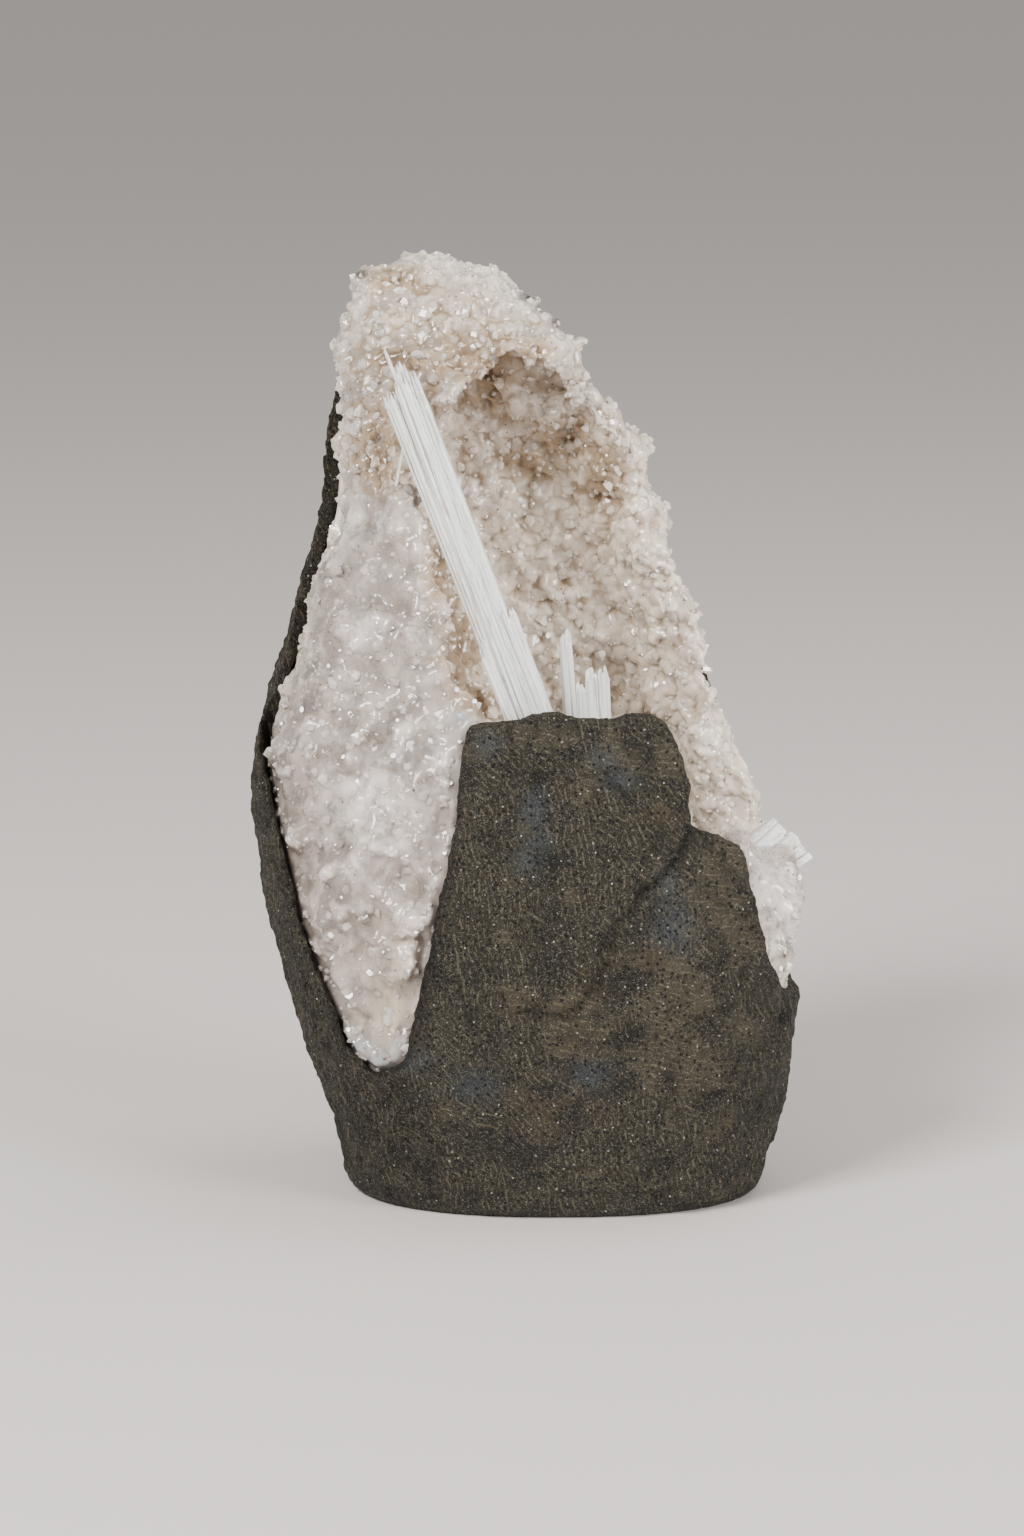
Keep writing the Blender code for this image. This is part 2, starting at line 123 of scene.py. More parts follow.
class Recipe:
    """A material whose nodes are made in one way."""

    def __init__(self, name: str) -> None:
        """Starts a material with a plain Principled shader.

        Args:
            name: The material's name.
        """
        self.material = bpy.data.materials.new(name)
        self.material.use_nodes = True
        self.nodes = self.material.node_tree.nodes
        self.links = self.material.node_tree.links
        self.shader = self.nodes["Principled BSDF"]

    def node(
        self, kind: str, settings: dict | None = None, values: dict | None = None, out: int | str = 0
    ) -> Signal:
        """Makes one node.

        Args:
            kind: The node's type.
            settings: Its properties.
            values: What its input sockets hold or are linked to.
            out: Which output is wanted.

        Returns:
            The wanted output.
        """
        node = self.nodes.new(kind)
        for name, setting in (settings or {}).items():
            setattr(node, name, setting)
        for name, value in (values or {}).items():
            self.feed(node.inputs[name], value)
        return Signal(self, node.outputs[out])

    def feed(self, socket: bpy.types.NodeSocket, value: Value) -> None:
        """Links a signal to a socket, or sets the socket's own value."""
        if isinstance(value, Signal):
            self.links.new(value.socket, socket)
        elif socket.type == "RGBA":
            socket.default_value = (*value, 1.0)
        else:
            socket.default_value = value

    def dress(self, **values: Value) -> None:
        """Feeds the shader's sockets; an underscore in a name stands for a space."""
        for name, value in values.items():
            self.feed(self.shader.inputs[name.replace("_", " ")], value)

    def place(self, turn: Triple = (0.0, 0.0, 0.0), stretch: Triple = (1.0, 1.0, 1.0)) -> Signal:
        """The point being shaded, in millimetres, turned and then stretched.

        Args:
            turn: Degrees about X, Y and Z.
            stretch: How much faster than the rest the pattern runs along each axis.

        Returns:
            A vector to give to a texture.
        """
        point = self.node("ShaderNodeTexCoord", out="Object")
        settings = {"vector_type": "POINT"}
        rotation = tuple(math.radians(angle) for angle in turn)
        turned = self.node("ShaderNodeMapping", settings, {"Vector": point, "Rotation": rotation})
        scale = tuple(share / MM for share in stretch)
        return self.node("ShaderNodeMapping", settings, {"Vector": turned, "Scale": scale})

    def noise(
        self, where: Signal, size: float, detail: float = 2.0, rough: float = 0.5, warp: float = 0.0
    ) -> Signal:
        """A noise texture whose features are about size millimetres across."""
        values = {"Scale": 1.0 / size, "Detail": detail, "Roughness": rough, "Distortion": warp}
        return self.node("ShaderNodeTexNoise", None, {"Vector": where} | values)

    def cells(self, where: Signal, size: float) -> Signal:
        """How far a point is from the middle of its cell, of cells about size millimetres across."""
        values = {"Vector": where, "Scale": 1.0 / size}
        return self.node("ShaderNodeTexVoronoi", None, values)

    def mix(self, share: Value, low: Value, high: Value) -> Signal:
        """A colour between two colours."""
        return self.node("ShaderNodeMix", {"data_type": "RGBA"}, {0: share, 6: low, 7: high}, 2)

    def layers(self, ground: Value, *coats: tuple[Value, Colour]) -> Signal:
        """A colour under coats, each a share and the colour that it lays over what is below it."""
        for share, colour in coats:
            ground = self.mix(share, ground, colour)
        return ground

    def painted(self, name: str) -> tuple[Signal, Signal, Signal]:
        """The three channels of a painted attribute."""
        colour = self.node("ShaderNodeAttribute", {"attribute_name": name}, None, "Color")
        split = self.node("ShaderNodeSeparateColor", None, {0: colour})
        return tuple(Signal(self, out) for out in split.socket.node.outputs)

    def bump(self, height: Signal, depth: float, strength: float = 1.0) -> Signal:
        """A normal that follows a height, whose full range is depth millimetres."""
        values = {"Strength": strength, "Distance": depth * MM, "Height": height}
        return self.node("ShaderNodeBump", None, values)


# Finishes


@dataclass(frozen=True)
class BasaltFinish:
    """Dark, matt rock with short khaki strokes, fine ridges, pits, bluish and ochre patches, and painted
    shade in its valley and cracks.
    """

    ground: Colour = (0.0016, 0.0015, 0.0012)
    body: Colour = (0.0100, 0.0092, 0.0064)
    khaki: Colour = (0.240, 0.205, 0.126)
    pale: Colour = (0.700, 0.680, 0.600)
    blue: Colour = (0.170, 0.205, 0.235)
    ochre: Colour = (0.080, 0.054, 0.026)
    ridge_turns: tuple[Triple, ...] = ((0, -12, 10), (0, -80, 20), (0, -42, 0))
    ridge_pitch: float = 1.02
    ridge_bend: float = 16.0
    stroke_size: float = 0.42
    stroke_stretch: Triple = (0.66, 0.84, 1.0)
    pit_pitch: float = 1.15
    grain_pitch: float = 1.9
    speckle_size: float = 0.34
    patch_size: float = 6.0
    relief: float = 0.55

    def material(self) -> bpy.types.Material:
        """Builds the material."""
        recipe = Recipe("basalt")
        plain = recipe.place()
        flow = recipe.painted("flow")
        # The third channel is painted shade: the valley along the quartz window's edge, and the cracks.
        blue, ochre, dark = recipe.painted("stain_and_shade")
        strokes, ridges = self._strokes(recipe, flow), self._ridges(recipe, flow)
        pits = recipe.cells(plain, self.pit_pitch).between(0.32, 0.18)
        grains = recipe.cells(plain, self.grain_pitch).between(0.11, 0.06)
        speckle = recipe.noise(plain, self.speckle_size, 3.0, 0.7)
        patch = recipe.noise(plain, self.patch_size, 3.0, 0.6)
        fleck = speckle.between(0.40, 0.62)
        light = (strokes * 0.56 + ridges * 0.46) * patch.between(0.20, 0.58)
        blued = blue * (fleck * 0.16 + strokes * 0.75)
        rusty = ochre * patch.between(0.35, 0.65) * 0.5
        colour = recipe.layers(
            self.ground,
            (fleck, self.body),
            (light.clamped(), self.khaki),
            # A khaki wash where strokes run level; on the right flank it is painted light, lighter where
            # light falls from the right.
            (flow[0] * patch.between(0.25, 0.60) * 0.16, self.khaki),
            (strokes * speckle.between(0.54, 0.64) * 0.7, self.pale),
            (grains * 0.8, self.pale),
            (blued.clamped(), self.blue),
            (rusty.clamped(), self.ochre),
            # The ground colour marks the pits, and paints shade into the valley and the cracks.
            ((pits * 0.9 + dark * 0.60).clamped(), self.ground),
        )
        height = strokes * 0.55 + ridges * 0.60 + speckle * 0.45 - pits * 1.3
        recipe.dress(
            Base_Color=colour,
            Roughness=0.78 - strokes * 0.25,
            Specular_IOR_Level=0.35,
            Normal=recipe.bump(height, self.relief),
        )
        return recipe.material

    def _strokes(self, recipe: Recipe, flow: tuple[Signal, ...]) -> Signal:
        """Short curved strokes: thin contours of a noise drawn out along the flow."""
        strokes = []
        for turn, here in zip(self.ridge_turns, flow):
            run = recipe.place(turn, self.stroke_stretch)
            wave = recipe.noise(run, self.stroke_size, 1.0, 0.5, 3.0)
            line = wave.between(0.470, 0.500) * wave.between(0.545, 0.520)
            strokes.append(line * (here * 0.75 + 0.25))
        return sum(strokes)

    def _ridges(self, recipe: Recipe, flow: tuple[Signal, ...]) -> Signal:
        """Sets of fine, bending, parallel ridges."""
        settings = {"wave_type": "BANDS", "bands_direction": "Z", "wave_profile": "SIN"}
        # A wave texture of scale 0.314 repeats once a unit.
        values = {"Scale": 0.314 / self.ridge_pitch, "Distortion": self.ridge_bend}
        values |= {"Detail": 2.0, "Detail Scale": 0.32, "Detail Roughness": 0.55}
        ridges = []
        for turn, here in zip(self.ridge_turns, flow):
            run = recipe.place(turn)
            band = recipe.node("ShaderNodeTexWave", settings, {"Vector": run} | values, "Fac")
            broken = recipe.noise(run, 0.9, 1.0).between(0.44, 0.58)
            ridges.append(band.between(0.66, 0.98) * broken * here)
        return sum(ridges)


@dataclass(frozen=True)
class QuartzFinish:
    """Milky quartz: pale on its points, with painted shade in tan and brown in its recesses, brown stains,
    specks and a wet gloss.
    """

    name: str = "quartz"
    pale: Colour = (0.540, 0.468, 0.418)
    grey: Colour = (0.235, 0.200, 0.172)
    white: Colour = (0.900, 0.850, 0.805)
    cream: Colour = (0.680, 0.560, 0.370)
    tan: Colour = (0.400, 0.292, 0.178)
    brown: Colour = (0.185, 0.118, 0.058)
    speck: Colour = (0.110, 0.055, 0.020)
    # Partly the hollow wall's own cream, partly painted light for the light that reaches into the hollow.
    hollow_cream_and_painted_light: Colour = (0.860, 0.765, 0.655)
    ledge: Colour = (0.420, 0.450, 0.470)
    rim: Colour = (0.030, 0.040, 0.042)
    roughness: float = 0.24
    scatter: float = 0.75
    scatter_reach: float = 1.3
    cloud_size: float = 5.0
    sugar_size: float = 0.45
    dot_pitch: float = 1.7

    def material(self) -> bpy.types.Material:
        """Builds the material."""
        recipe = Recipe(self.name)
        plain = recipe.place()
        # The green channel carries painted shade in the recesses and pockets, with a few brown stains.
        chance, recess_shade_and_stain, cream = recipe.painted("tint")
        white, ledge, rim = recipe.painted("mark")
        depth = recipe.painted("depth")[0]
        cloud = recipe.noise(plain, self.cloud_size, 3.0, 0.6)
        sugar = recipe.noise(plain, self.sugar_size, 2.0, 0.6)
        greyness = (cloud.between(0.36, 0.66) * 0.60 + chance * 0.60).clamped()
        dots = recipe.cells(plain, self.dot_pitch).between(0.15, 0.09)
        rare = recipe.noise(plain, 4.0, 1.0).between(0.50, 0.60)
        colour = recipe.layers(
            self.pale,
            (greyness, self.grey),
            ((cream * cloud.between(0.70, 0.30) * 0.85).clamped(), self.cream),
            ((white * cloud.between(0.70, 0.35) * 0.85).clamped(), self.white),
            # Painted light: the hollow's wall is painted lighter and creamier, partly its own cream.
            (depth * (0.85 - 0.45 * greyness), self.hollow_cream_and_painted_light),
            # Tan and brown are painted shade in the recesses and pockets, and the colour of brown stains.
            (recess_shade_and_stain.between(0.05, 0.50) * 0.85, self.tan),
            (recess_shade_and_stain.between(0.40, 1.00) * 0.90, self.brown),
            (ledge, self.ledge),
            (rim, self.rim),
            (dots * rare * 0.85, self.speck),
        )
        recipe.dress(
            Base_Color=colour,
            Roughness=self.roughness + sugar.between(0.35, 0.65) * 0.22,
            Normal=recipe.bump(sugar, 0.08, 0.45),
            IOR=1.54,
            Coat_Weight=0.8,
            Coat_Roughness=0.04,
            Subsurface_Weight=self.scatter,
            Subsurface_Radius=(1.0, 0.84, 0.68),
            Subsurface_Scale=self.scatter_reach * MM,
        )
        return recipe.material


@dataclass(frozen=True)
class NeedleFinish:
    """White, silky scolecite with fine lines of painted shade along its needles, and some needles greyer by
    chance.
    """

    name: str
    along: Triple
    white: Colour = (0.940, 0.920, 0.905)
    groove_shade_and_tone: Colour = (0.540, 0.500, 0.465)

    def material(self) -> bpy.types.Material:
        """Builds the material."""
        recipe = Recipe(self.name)
        lean = math.degrees(math.atan2(self.along[0], self.along[2]))
        run = recipe.place((0.0, -lean, 0.0), (1.0, 1.0, 0.02))
        lines = recipe.noise(run, 0.30, 3.0, 0.65)
        chance = recipe.painted("tint")[0]
        # Painted shade in the fine grooves along the needles; the same grey darkens some needles by chance.
        colour = recipe.layers(
            self.groove_shade_and_tone,
            (lines.between(0.36, 0.47), self.white),
            (chance.between(0.55, 1.0) * 0.30, self.groove_shade_and_tone),
        )
        recipe.dress(
            Base_Color=colour,
            Roughness=0.30 + lines * 0.20,
            Normal=recipe.bump(lines, 0.08, 0.6),
            IOR=1.52,
            Subsurface_Weight=0.25,
            Subsurface_Scale=1.2 * MM,
        )
        return recipe.material


@dataclass(frozen=True)
class FloorFinish:
    """A plain pale studio floor."""

    colour: Colour = (0.820, 0.775, 0.755)

    def material(self) -> bpy.types.Material:
        """Builds the material."""
        recipe = Recipe("floor")
        recipe.dress(Base_Color=self.colour, Roughness=0.65)
        return recipe.material


# Meshes


def show(name: str, mesh: bpy.types.Mesh) -> bpy.types.Object:
    """Links an object for a mesh."""
    obj = bpy.data.objects.new(name, mesh)
    bpy.context.scene.collection.objects.link(obj)
    return obj


def settle(obj: bpy.types.Object) -> None:
    """Replaces an object's mesh by what its modifiers make of it."""
    graph = bpy.context.evaluated_depsgraph_get()
    mesh = bpy.data.meshes.new_from_object(obj.evaluated_get(graph), depsgraph=graph)
    obj.modifiers.clear()
    obj.data = mesh


def made(bm: bmesh.types.BMesh, name: str) -> bpy.types.Mesh:
    """Turns a finished bmesh into a mesh."""
    mesh = bpy.data.meshes.new(name)
    bm.to_mesh(mesh)
    bm.free()
    return mesh


def merged_copy(node: str) -> bpy.types.Mesh:
    """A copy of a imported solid's mesh with its loose triangles joined."""
    bm = bmesh.new()
    bm.from_mesh(bpy.data.objects[node].data)
    bmesh.ops.remove_doubles(bm, verts=bm.verts, dist=1e-6)
    return made(bm, node + " surface")


def joined(name: str, meshes: Sequence[bpy.types.Mesh]) -> bpy.types.Mesh:
    """One mesh that holds all of several meshes."""
    bm = bmesh.new()
    for mesh in meshes:
        bm.from_mesh(mesh)
    return made(bm, name)


def dress(piece: bpy.types.Object, finish: BasaltFinish | QuartzFinish | NeedleFinish | FloorFinish) -> None:
    """Gives a piece one finish."""
    piece.data.materials.clear()
    piece.data.materials.append(finish.material())


def remesh(obj: bpy.types.Object, voxel: float, smoothing: int) -> None:
    """Rebuilds an object as even small faces, voxel millimetres wide."""
    even = obj.modifiers.new("even", "REMESH")
    even.mode = "VOXEL"
    even.voxel_size = voxel * MM
    soften = obj.modifiers.new("soften", "SMOOTH")
    soften.iterations = smoothing
    soften.factor = 0.5
    settle(obj)


def vertex_values(mesh: bpy.types.Mesh, what: str) -> np.ndarray:
    """Three numbers of each of a mesh's vertices."""
    flat = np.empty(len(mesh.vertices) * 3, np.float32)
    mesh.vertices.foreach_get(what, flat)
    return flat.reshape(-1, 3)


def points_of(mesh: bpy.types.Mesh) -> np.ndarray:
    """A mesh's vertices in millimetres."""
    return vertex_values(mesh, "co") / MM


def normals_of(mesh: bpy.types.Mesh) -> np.ndarray:
    """A mesh's vertex normals."""
    return vertex_values(mesh, "normal")


def corners_of(items: bpy.types.bpy_prop_collection, count: int) -> np.ndarray:
    """The vertex numbers of a mesh's edges or triangles, which have count corners each."""
    flat = np.empty(len(items) * count, np.int32)
    items.foreach_get("vertices", flat)
    return flat.reshape(-1, count)


def move_points(mesh: bpy.types.Mesh, points: np.ndarray) -> None:
    """Puts a mesh's vertices at new places, in millimetres."""
    mesh.vertices.foreach_set("co", (points * MM).astype(np.float32).ravel())
    mesh.update()


def paint(mesh: bpy.types.Mesh, name: str, red: np.ndarray, green: np.ndarray, blue: np.ndarray) -> None:
    """Stores three values for each vertex."""
    values = np.ones((len(mesh.vertices), 4), np.float32)
    values[:, 0], values[:, 1], values[:, 2] = red, green, blue
    attribute = mesh.attributes.new(name, "FLOAT_COLOR", "POINT")
    attribute.data.foreach_set("color", values.ravel())


def rise(low: float, high: float, value: np.ndarray) -> np.ndarray:
    """0 below low, 1 above high, with a smooth rise between them."""
    t = np.clip((value - low) / (high - low), 0.0, 1.0)
    return t * t * (3.0 - 2.0 * t)


def tree_of(node: str) -> BVHTree:
    """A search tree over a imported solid, in millimetres."""
    bm = bmesh.new()
    bm.from_mesh(bpy.data.objects[node].data)
    bmesh.ops.scale(bm, verts=bm.verts, vec=Vector((1.0 / MM,) * 3))
    tree = BVHTree.FromBMesh(bm)
    bm.free()
    return tree


def distances(tree: BVHTree, points: np.ndarray, limit: float = 3.0) -> np.ndarray:
    """How far each point is from a solid, up to a limit."""
    found = (tree.find_nearest(point, limit)[3] for point in points.tolist())
    return np.array([limit if away is None else away for away in found])


def hollowness(mesh: bpy.types.Mesh, rounds: int) -> np.ndarray:
    """How deep each vertex lies in its surroundings, in millimetres; points that stand out are negative."""
    points = points_of(mesh)
    size = len(points)
    first, second = corners_of(mesh.edges, 2).T
    count = np.bincount(np.concatenate((first, second)), minlength=size).clip(1)[:, None]
    smooth = points.copy()
    for _ in range(rounds):
        total = [
            np.bincount(first, smooth[second, k], size) + np.bincount(second, smooth[first, k], size)
            for k in range(3)
        ]
        smooth = np.stack(total, axis=1) / count
    return ((smooth - points) * normals_of(mesh)).sum(axis=1)


def follow(points: np.ndarray, height: Callable[[Vector], float]) -> np.ndarray:
    """A height for each point."""
    return np.array([height(Vector(point)) for point in points.tolist()])


def wander(point: Vector) -> Vector:
    """Three noises at one point, as a vector."""
    return Vector([noise.noise(point + shift) for shift in WANDER_SHIFTS])


@dataclass(frozen=True)
class Sight:
    """The place that the geode is seen from, with its picture plane through the geode, in millimetres."""

    target: Triple = (-3.1, 0.0, 72.5)
    distance: float = 950.0
    elevation: float = 10.0

    def axes(self) -> tuple[np.ndarray, np.ndarray, np.ndarray]:
        """The directions to the right, upwards and away on the picture plane."""
        tilt = math.radians(self.elevation)
        right = np.array((1.0, 0.0, 0.0))
        upward = np.array((0.0, math.sin(tilt), math.cos(tilt)))
        away = np.array((0.0, math.cos(tilt), -math.sin(tilt)))
        return right, upward, away

    def eye(self) -> np.ndarray:
        """Where the camera stands."""
        return np.array(self.target) - self.axes()[2] * self.distance

    def hit(self, tree: BVHTree, across: float, up: float) -> Vector | None:
        """The nearest point of a surface behind a place on the picture plane."""
        right, upward, _ = self.axes()
        eye = Vector(self.eye())
        aim = Vector(np.array(self.target) + right * across + upward * up)
        return tree.ray_cast(eye, (aim - eye).normalized())[0]

    def seen(self, points: np.ndarray) -> np.ndarray:
        """Where points show on the picture plane."""
        right, upward, away = self.axes()
        offset = points - self.eye()
        scale = self.distance / (offset @ away)
        return np.stack((offset @ right * scale, offset @ upward * scale), axis=1)


SIGHT = Sight()


def spots(seen: np.ndarray, patches: Sequence[Spot]) -> np.ndarray:
    """How close points are to any of several spots, from 0 to 1."""
    best = np.zeros(len(seen))
    for across, up, wide, tall in patches:
        away = (seen - (across, up)) / (wide, tall)
        best = np.maximum(best, np.exp(-(away**2).sum(axis=1)))
    return best


def beside(seen: np.ndarray, line: Sequence[Place], reach: float) -> np.ndarray:
    """How close points are to a line of corners on the picture plane, from 0 to 1."""
    best = np.full(len(seen), np.inf)
    for start, end in zip(line, line[1:]):
        start, along = np.array(start), np.subtract(end, start)
        share = ((seen - start) @ along / (along @ along)).clip(0.0, 1.0)
        best = np.minimum(best, np.linalg.norm(seen - start - share[:, None] * along, axis=1))
    return np.exp(-((best / reach) ** 2))


@dataclass
class Seats:
    """Where repeated small shapes stand: their feet, their own axes and their sizes, in millimetres."""

    feet: np.ndarray
    axes: np.ndarray
    sizes: np.ndarray
    turns: np.ndarray

    def frames(self) -> np.ndarray:
        """A 3 by 3 matrix for each seat, which turns and sizes a shape that points along +Z."""
        up = self.axes / np.linalg.norm(self.axes, axis=1, keepdims=True)
        helper = np.where(np.abs(up[:, 2:3]) < 0.9, [[0.0, 0.0, 1.0]], [[1.0, 0.0, 0.0]])
        side = np.cross(helper, up)
        side /= np.linalg.norm(side, axis=1, keepdims=True)
        other = np.cross(up, side)
        cosine, sine = np.cos(self.turns)[:, None], np.sin(self.turns)[:, None]
        across = side * cosine + other * sine
        deep = other * cosine - side * sine
        scaled = (across * self.sizes[:, 0:1], deep * self.sizes[:, 1:2], up * self.sizes[:, 2:3])
        return np.stack(scaled, axis=2)

    def stamp(self, name: str, shapes: Sequence[bpy.types.Mesh]) -> tuple[bpy.types.Mesh, np.ndarray]:
        """Puts one of several triangle shapes on every seat.

        Args:
            name: The new mesh's name.
            shapes: The shapes, which take turns.

        Returns:
            The joined mesh, and for each of its vertices the seat that it belongs to.
        """
        frames = self.frames()
        verts, faces, owners, start = [], [], [], 0
        for k, shape in enumerate(shapes):
            own = np.arange(k, len(self.feet), len(shapes))
            points = points_of(shape) * MM
            placed = np.einsum("nij,pj->npi", frames[own], points) + self.feet[own][:, None, :]
            shifts = start + np.arange(len(own)) * len(points)
            verts.append(placed.reshape(-1, 3))
            faces.append((corners_of(shape.polygons, 3)[None] + shifts[:, None, None]).reshape(-1, 3))
            owners.append(np.repeat(own, len(points)))
            start += len(own) * len(points)
        mesh = bpy.data.meshes.new(name)
        mesh.from_pydata((np.concatenate(verts) * MM).tolist(), [], np.concatenate(faces).tolist())
        return mesh, np.concatenate(owners)


@dataclass(frozen=True)
class Spread:
    """Points spread over a surface, with a direction at each."""

    points: np.ndarray
    normals: np.ndarray

    def leaning(self, lean: float, rng: np.random.Generator) -> Spread:
        """The same points, with each direction turned aside by chance."""
        turned = self.normals + rng.normal(0.0, lean, self.normals.shape)
        return Spread(self.points, turned / np.linalg.norm(turned, axis=1, keepdims=True))

    def seats(
        self, radius: np.ndarray, tall: np.ndarray, flattest: float, depth: float, rng: np.random.Generator
    ) -> Seats:
        """Seats shapes on the points, turned by chance.

        Args:
            radius: Their half widths.
            tall: Their heights.
            flattest: How thick the flattest is, as a share of its width.
            depth: How far their feet are below the points, in radii.
            rng: The source of chance.

        Returns:
            The seats.
        """
        count = len(radius)
        sizes = np.stack((radius, radius * rng.uniform(flattest, 1.0, count), tall), axis=1)
        feet = self.points - self.normals * (radius[:, None] * depth)
        return Seats(feet, self.normals, sizes, rng.uniform(0.0, math.tau, count))


def stump(sides: int, top: float, height: float) -> bmesh.types.BMesh:
    """A stump that stands on its foot, one unit in radius, with a flat top of another radius."""
    bm = bmesh.new()
    bmesh.ops.create_cone(bm, cap_ends=True, segments=sides, radius1=1.0, radius2=top, depth=height)
    bmesh.ops.translate(bm, verts=bm.verts, vec=Vector((0.0, 0.0, height / 2)))
    return bm


def point_shapes(sides: int, shoulder: float, *leans: Place) -> list[bpy.types.Mesh]:
    """Crystals with flat sides and a pointed tip, one unit in radius and one in height.

    Args:
        sides: How many sides they have.
        shoulder: The height at which their sides end and their tips start.
        leans: How far the tip of each one is off its middle, in radii.

    Returns:
        Their closed meshes, in triangles.
    """
    shapes = []
    for lean in leans:
        bm = stump(sides, 0.9, shoulder)
        top = max(bm.faces, key=lambda face: face.calc_center_median().z)
        tip = bmesh.ops.poke(bm, faces=[top])["verts"][0]
        tip.co = Vector((*lean, 1.0))
        bmesh.ops.triangulate(bm, faces=bm.faces)
        shapes.append(made(bm, "point"))
    return shapes


class Skin:
    """A surface on which crystals can be scattered."""

    def __init__(self, mesh: bpy.types.Mesh) -> None:
        """Reads a mesh's triangles.

        Args:
            mesh: The surface.
        """
        mesh.calc_loop_triangles()
        numbers = corners_of(mesh.loop_triangles, 3)
        self.corners = points_of(mesh)[numbers]
        self.normals = normals_of(mesh)[numbers]
        self.centres = self.corners.mean(axis=1)
        sides = self.corners[:, 1:] - self.corners[:, :1]
        crossed = np.cross(sides[:, 0], sides[:, 1])
        self.areas = np.linalg.norm(crossed, axis=1) / 2
        self.facing = crossed / (self.areas[:, None] * 2 + 1e-9)

    def is_open(self, cover: BVHTree, room: float) -> np.ndarray:
        """Which triangles have nothing of a cover close in front of them."""
        starts = (self.centres + self.facing * 0.1).tolist()
        rays = zip(starts, self.facing.tolist())
        return np.array([cover.ray_cast(start, aim, room)[0] is None for start, aim in rays])

    def scatter(self, allowed: np.ndarray, spacing: float, rng: np.random.Generator) -> Spread:
        """Spreads points over part of the surface.

        Args:
            allowed: Which triangles may take points.
            spacing: How far apart the points are, in millimetres.
            rng: The source of chance.

        Returns:
            The points, and the surface's direction at each.
        """
        chances = np.where(allowed, self.areas, 0.0)
        tries = int(4.0 * chances.sum() / spacing**2)
        picked = rng.choice(len(chances), tries, p=chances / chances.sum())
        first, second = rng.random(tries), rng.random(tries)
        fold = first + second > 1.0
        first[fold], second[fold] = 1.0 - first[fold], 1.0 - second[fold]
        shares = np.stack((1.0 - first - second, first, second), axis=1)[:, :, None]
        points = (self.corners[picked] * shares).sum(axis=1)
        normals = (self.normals[picked] * shares).sum(axis=1)
        _, kept = np.unique(np.floor(points / spacing).astype(np.int64), axis=0, return_index=True)
        kept = np.sort(kept)
        return Spread(points[kept], normals[kept])


# Minerals


@dataclass(frozen=True)
class Crack:
    """A crack or ledge, as corners on the picture plane, with its depth and half width."""

    line: tuple[Place, ...]
    depth: float
    width: float


def thin_hidden(piece: bpy.types.Object, hidden: np.ndarray, kept: float = 0.08) -> None:
    """Spends few faces on the part of a surface that nobody sees."""
    group = piece.vertex_groups.new(name="hidden")
    group.add(np.flatnonzero(hidden).tolist(), 1.0, "REPLACE")
    thin = piece.modifiers.new("thin", "DECIMATE")
    thin.vertex_group = group.name
    thin.ratio = 1.0 - (1.0 - kept) * float(hidden.mean())
    settle(piece)
    piece.vertex_groups.clear()


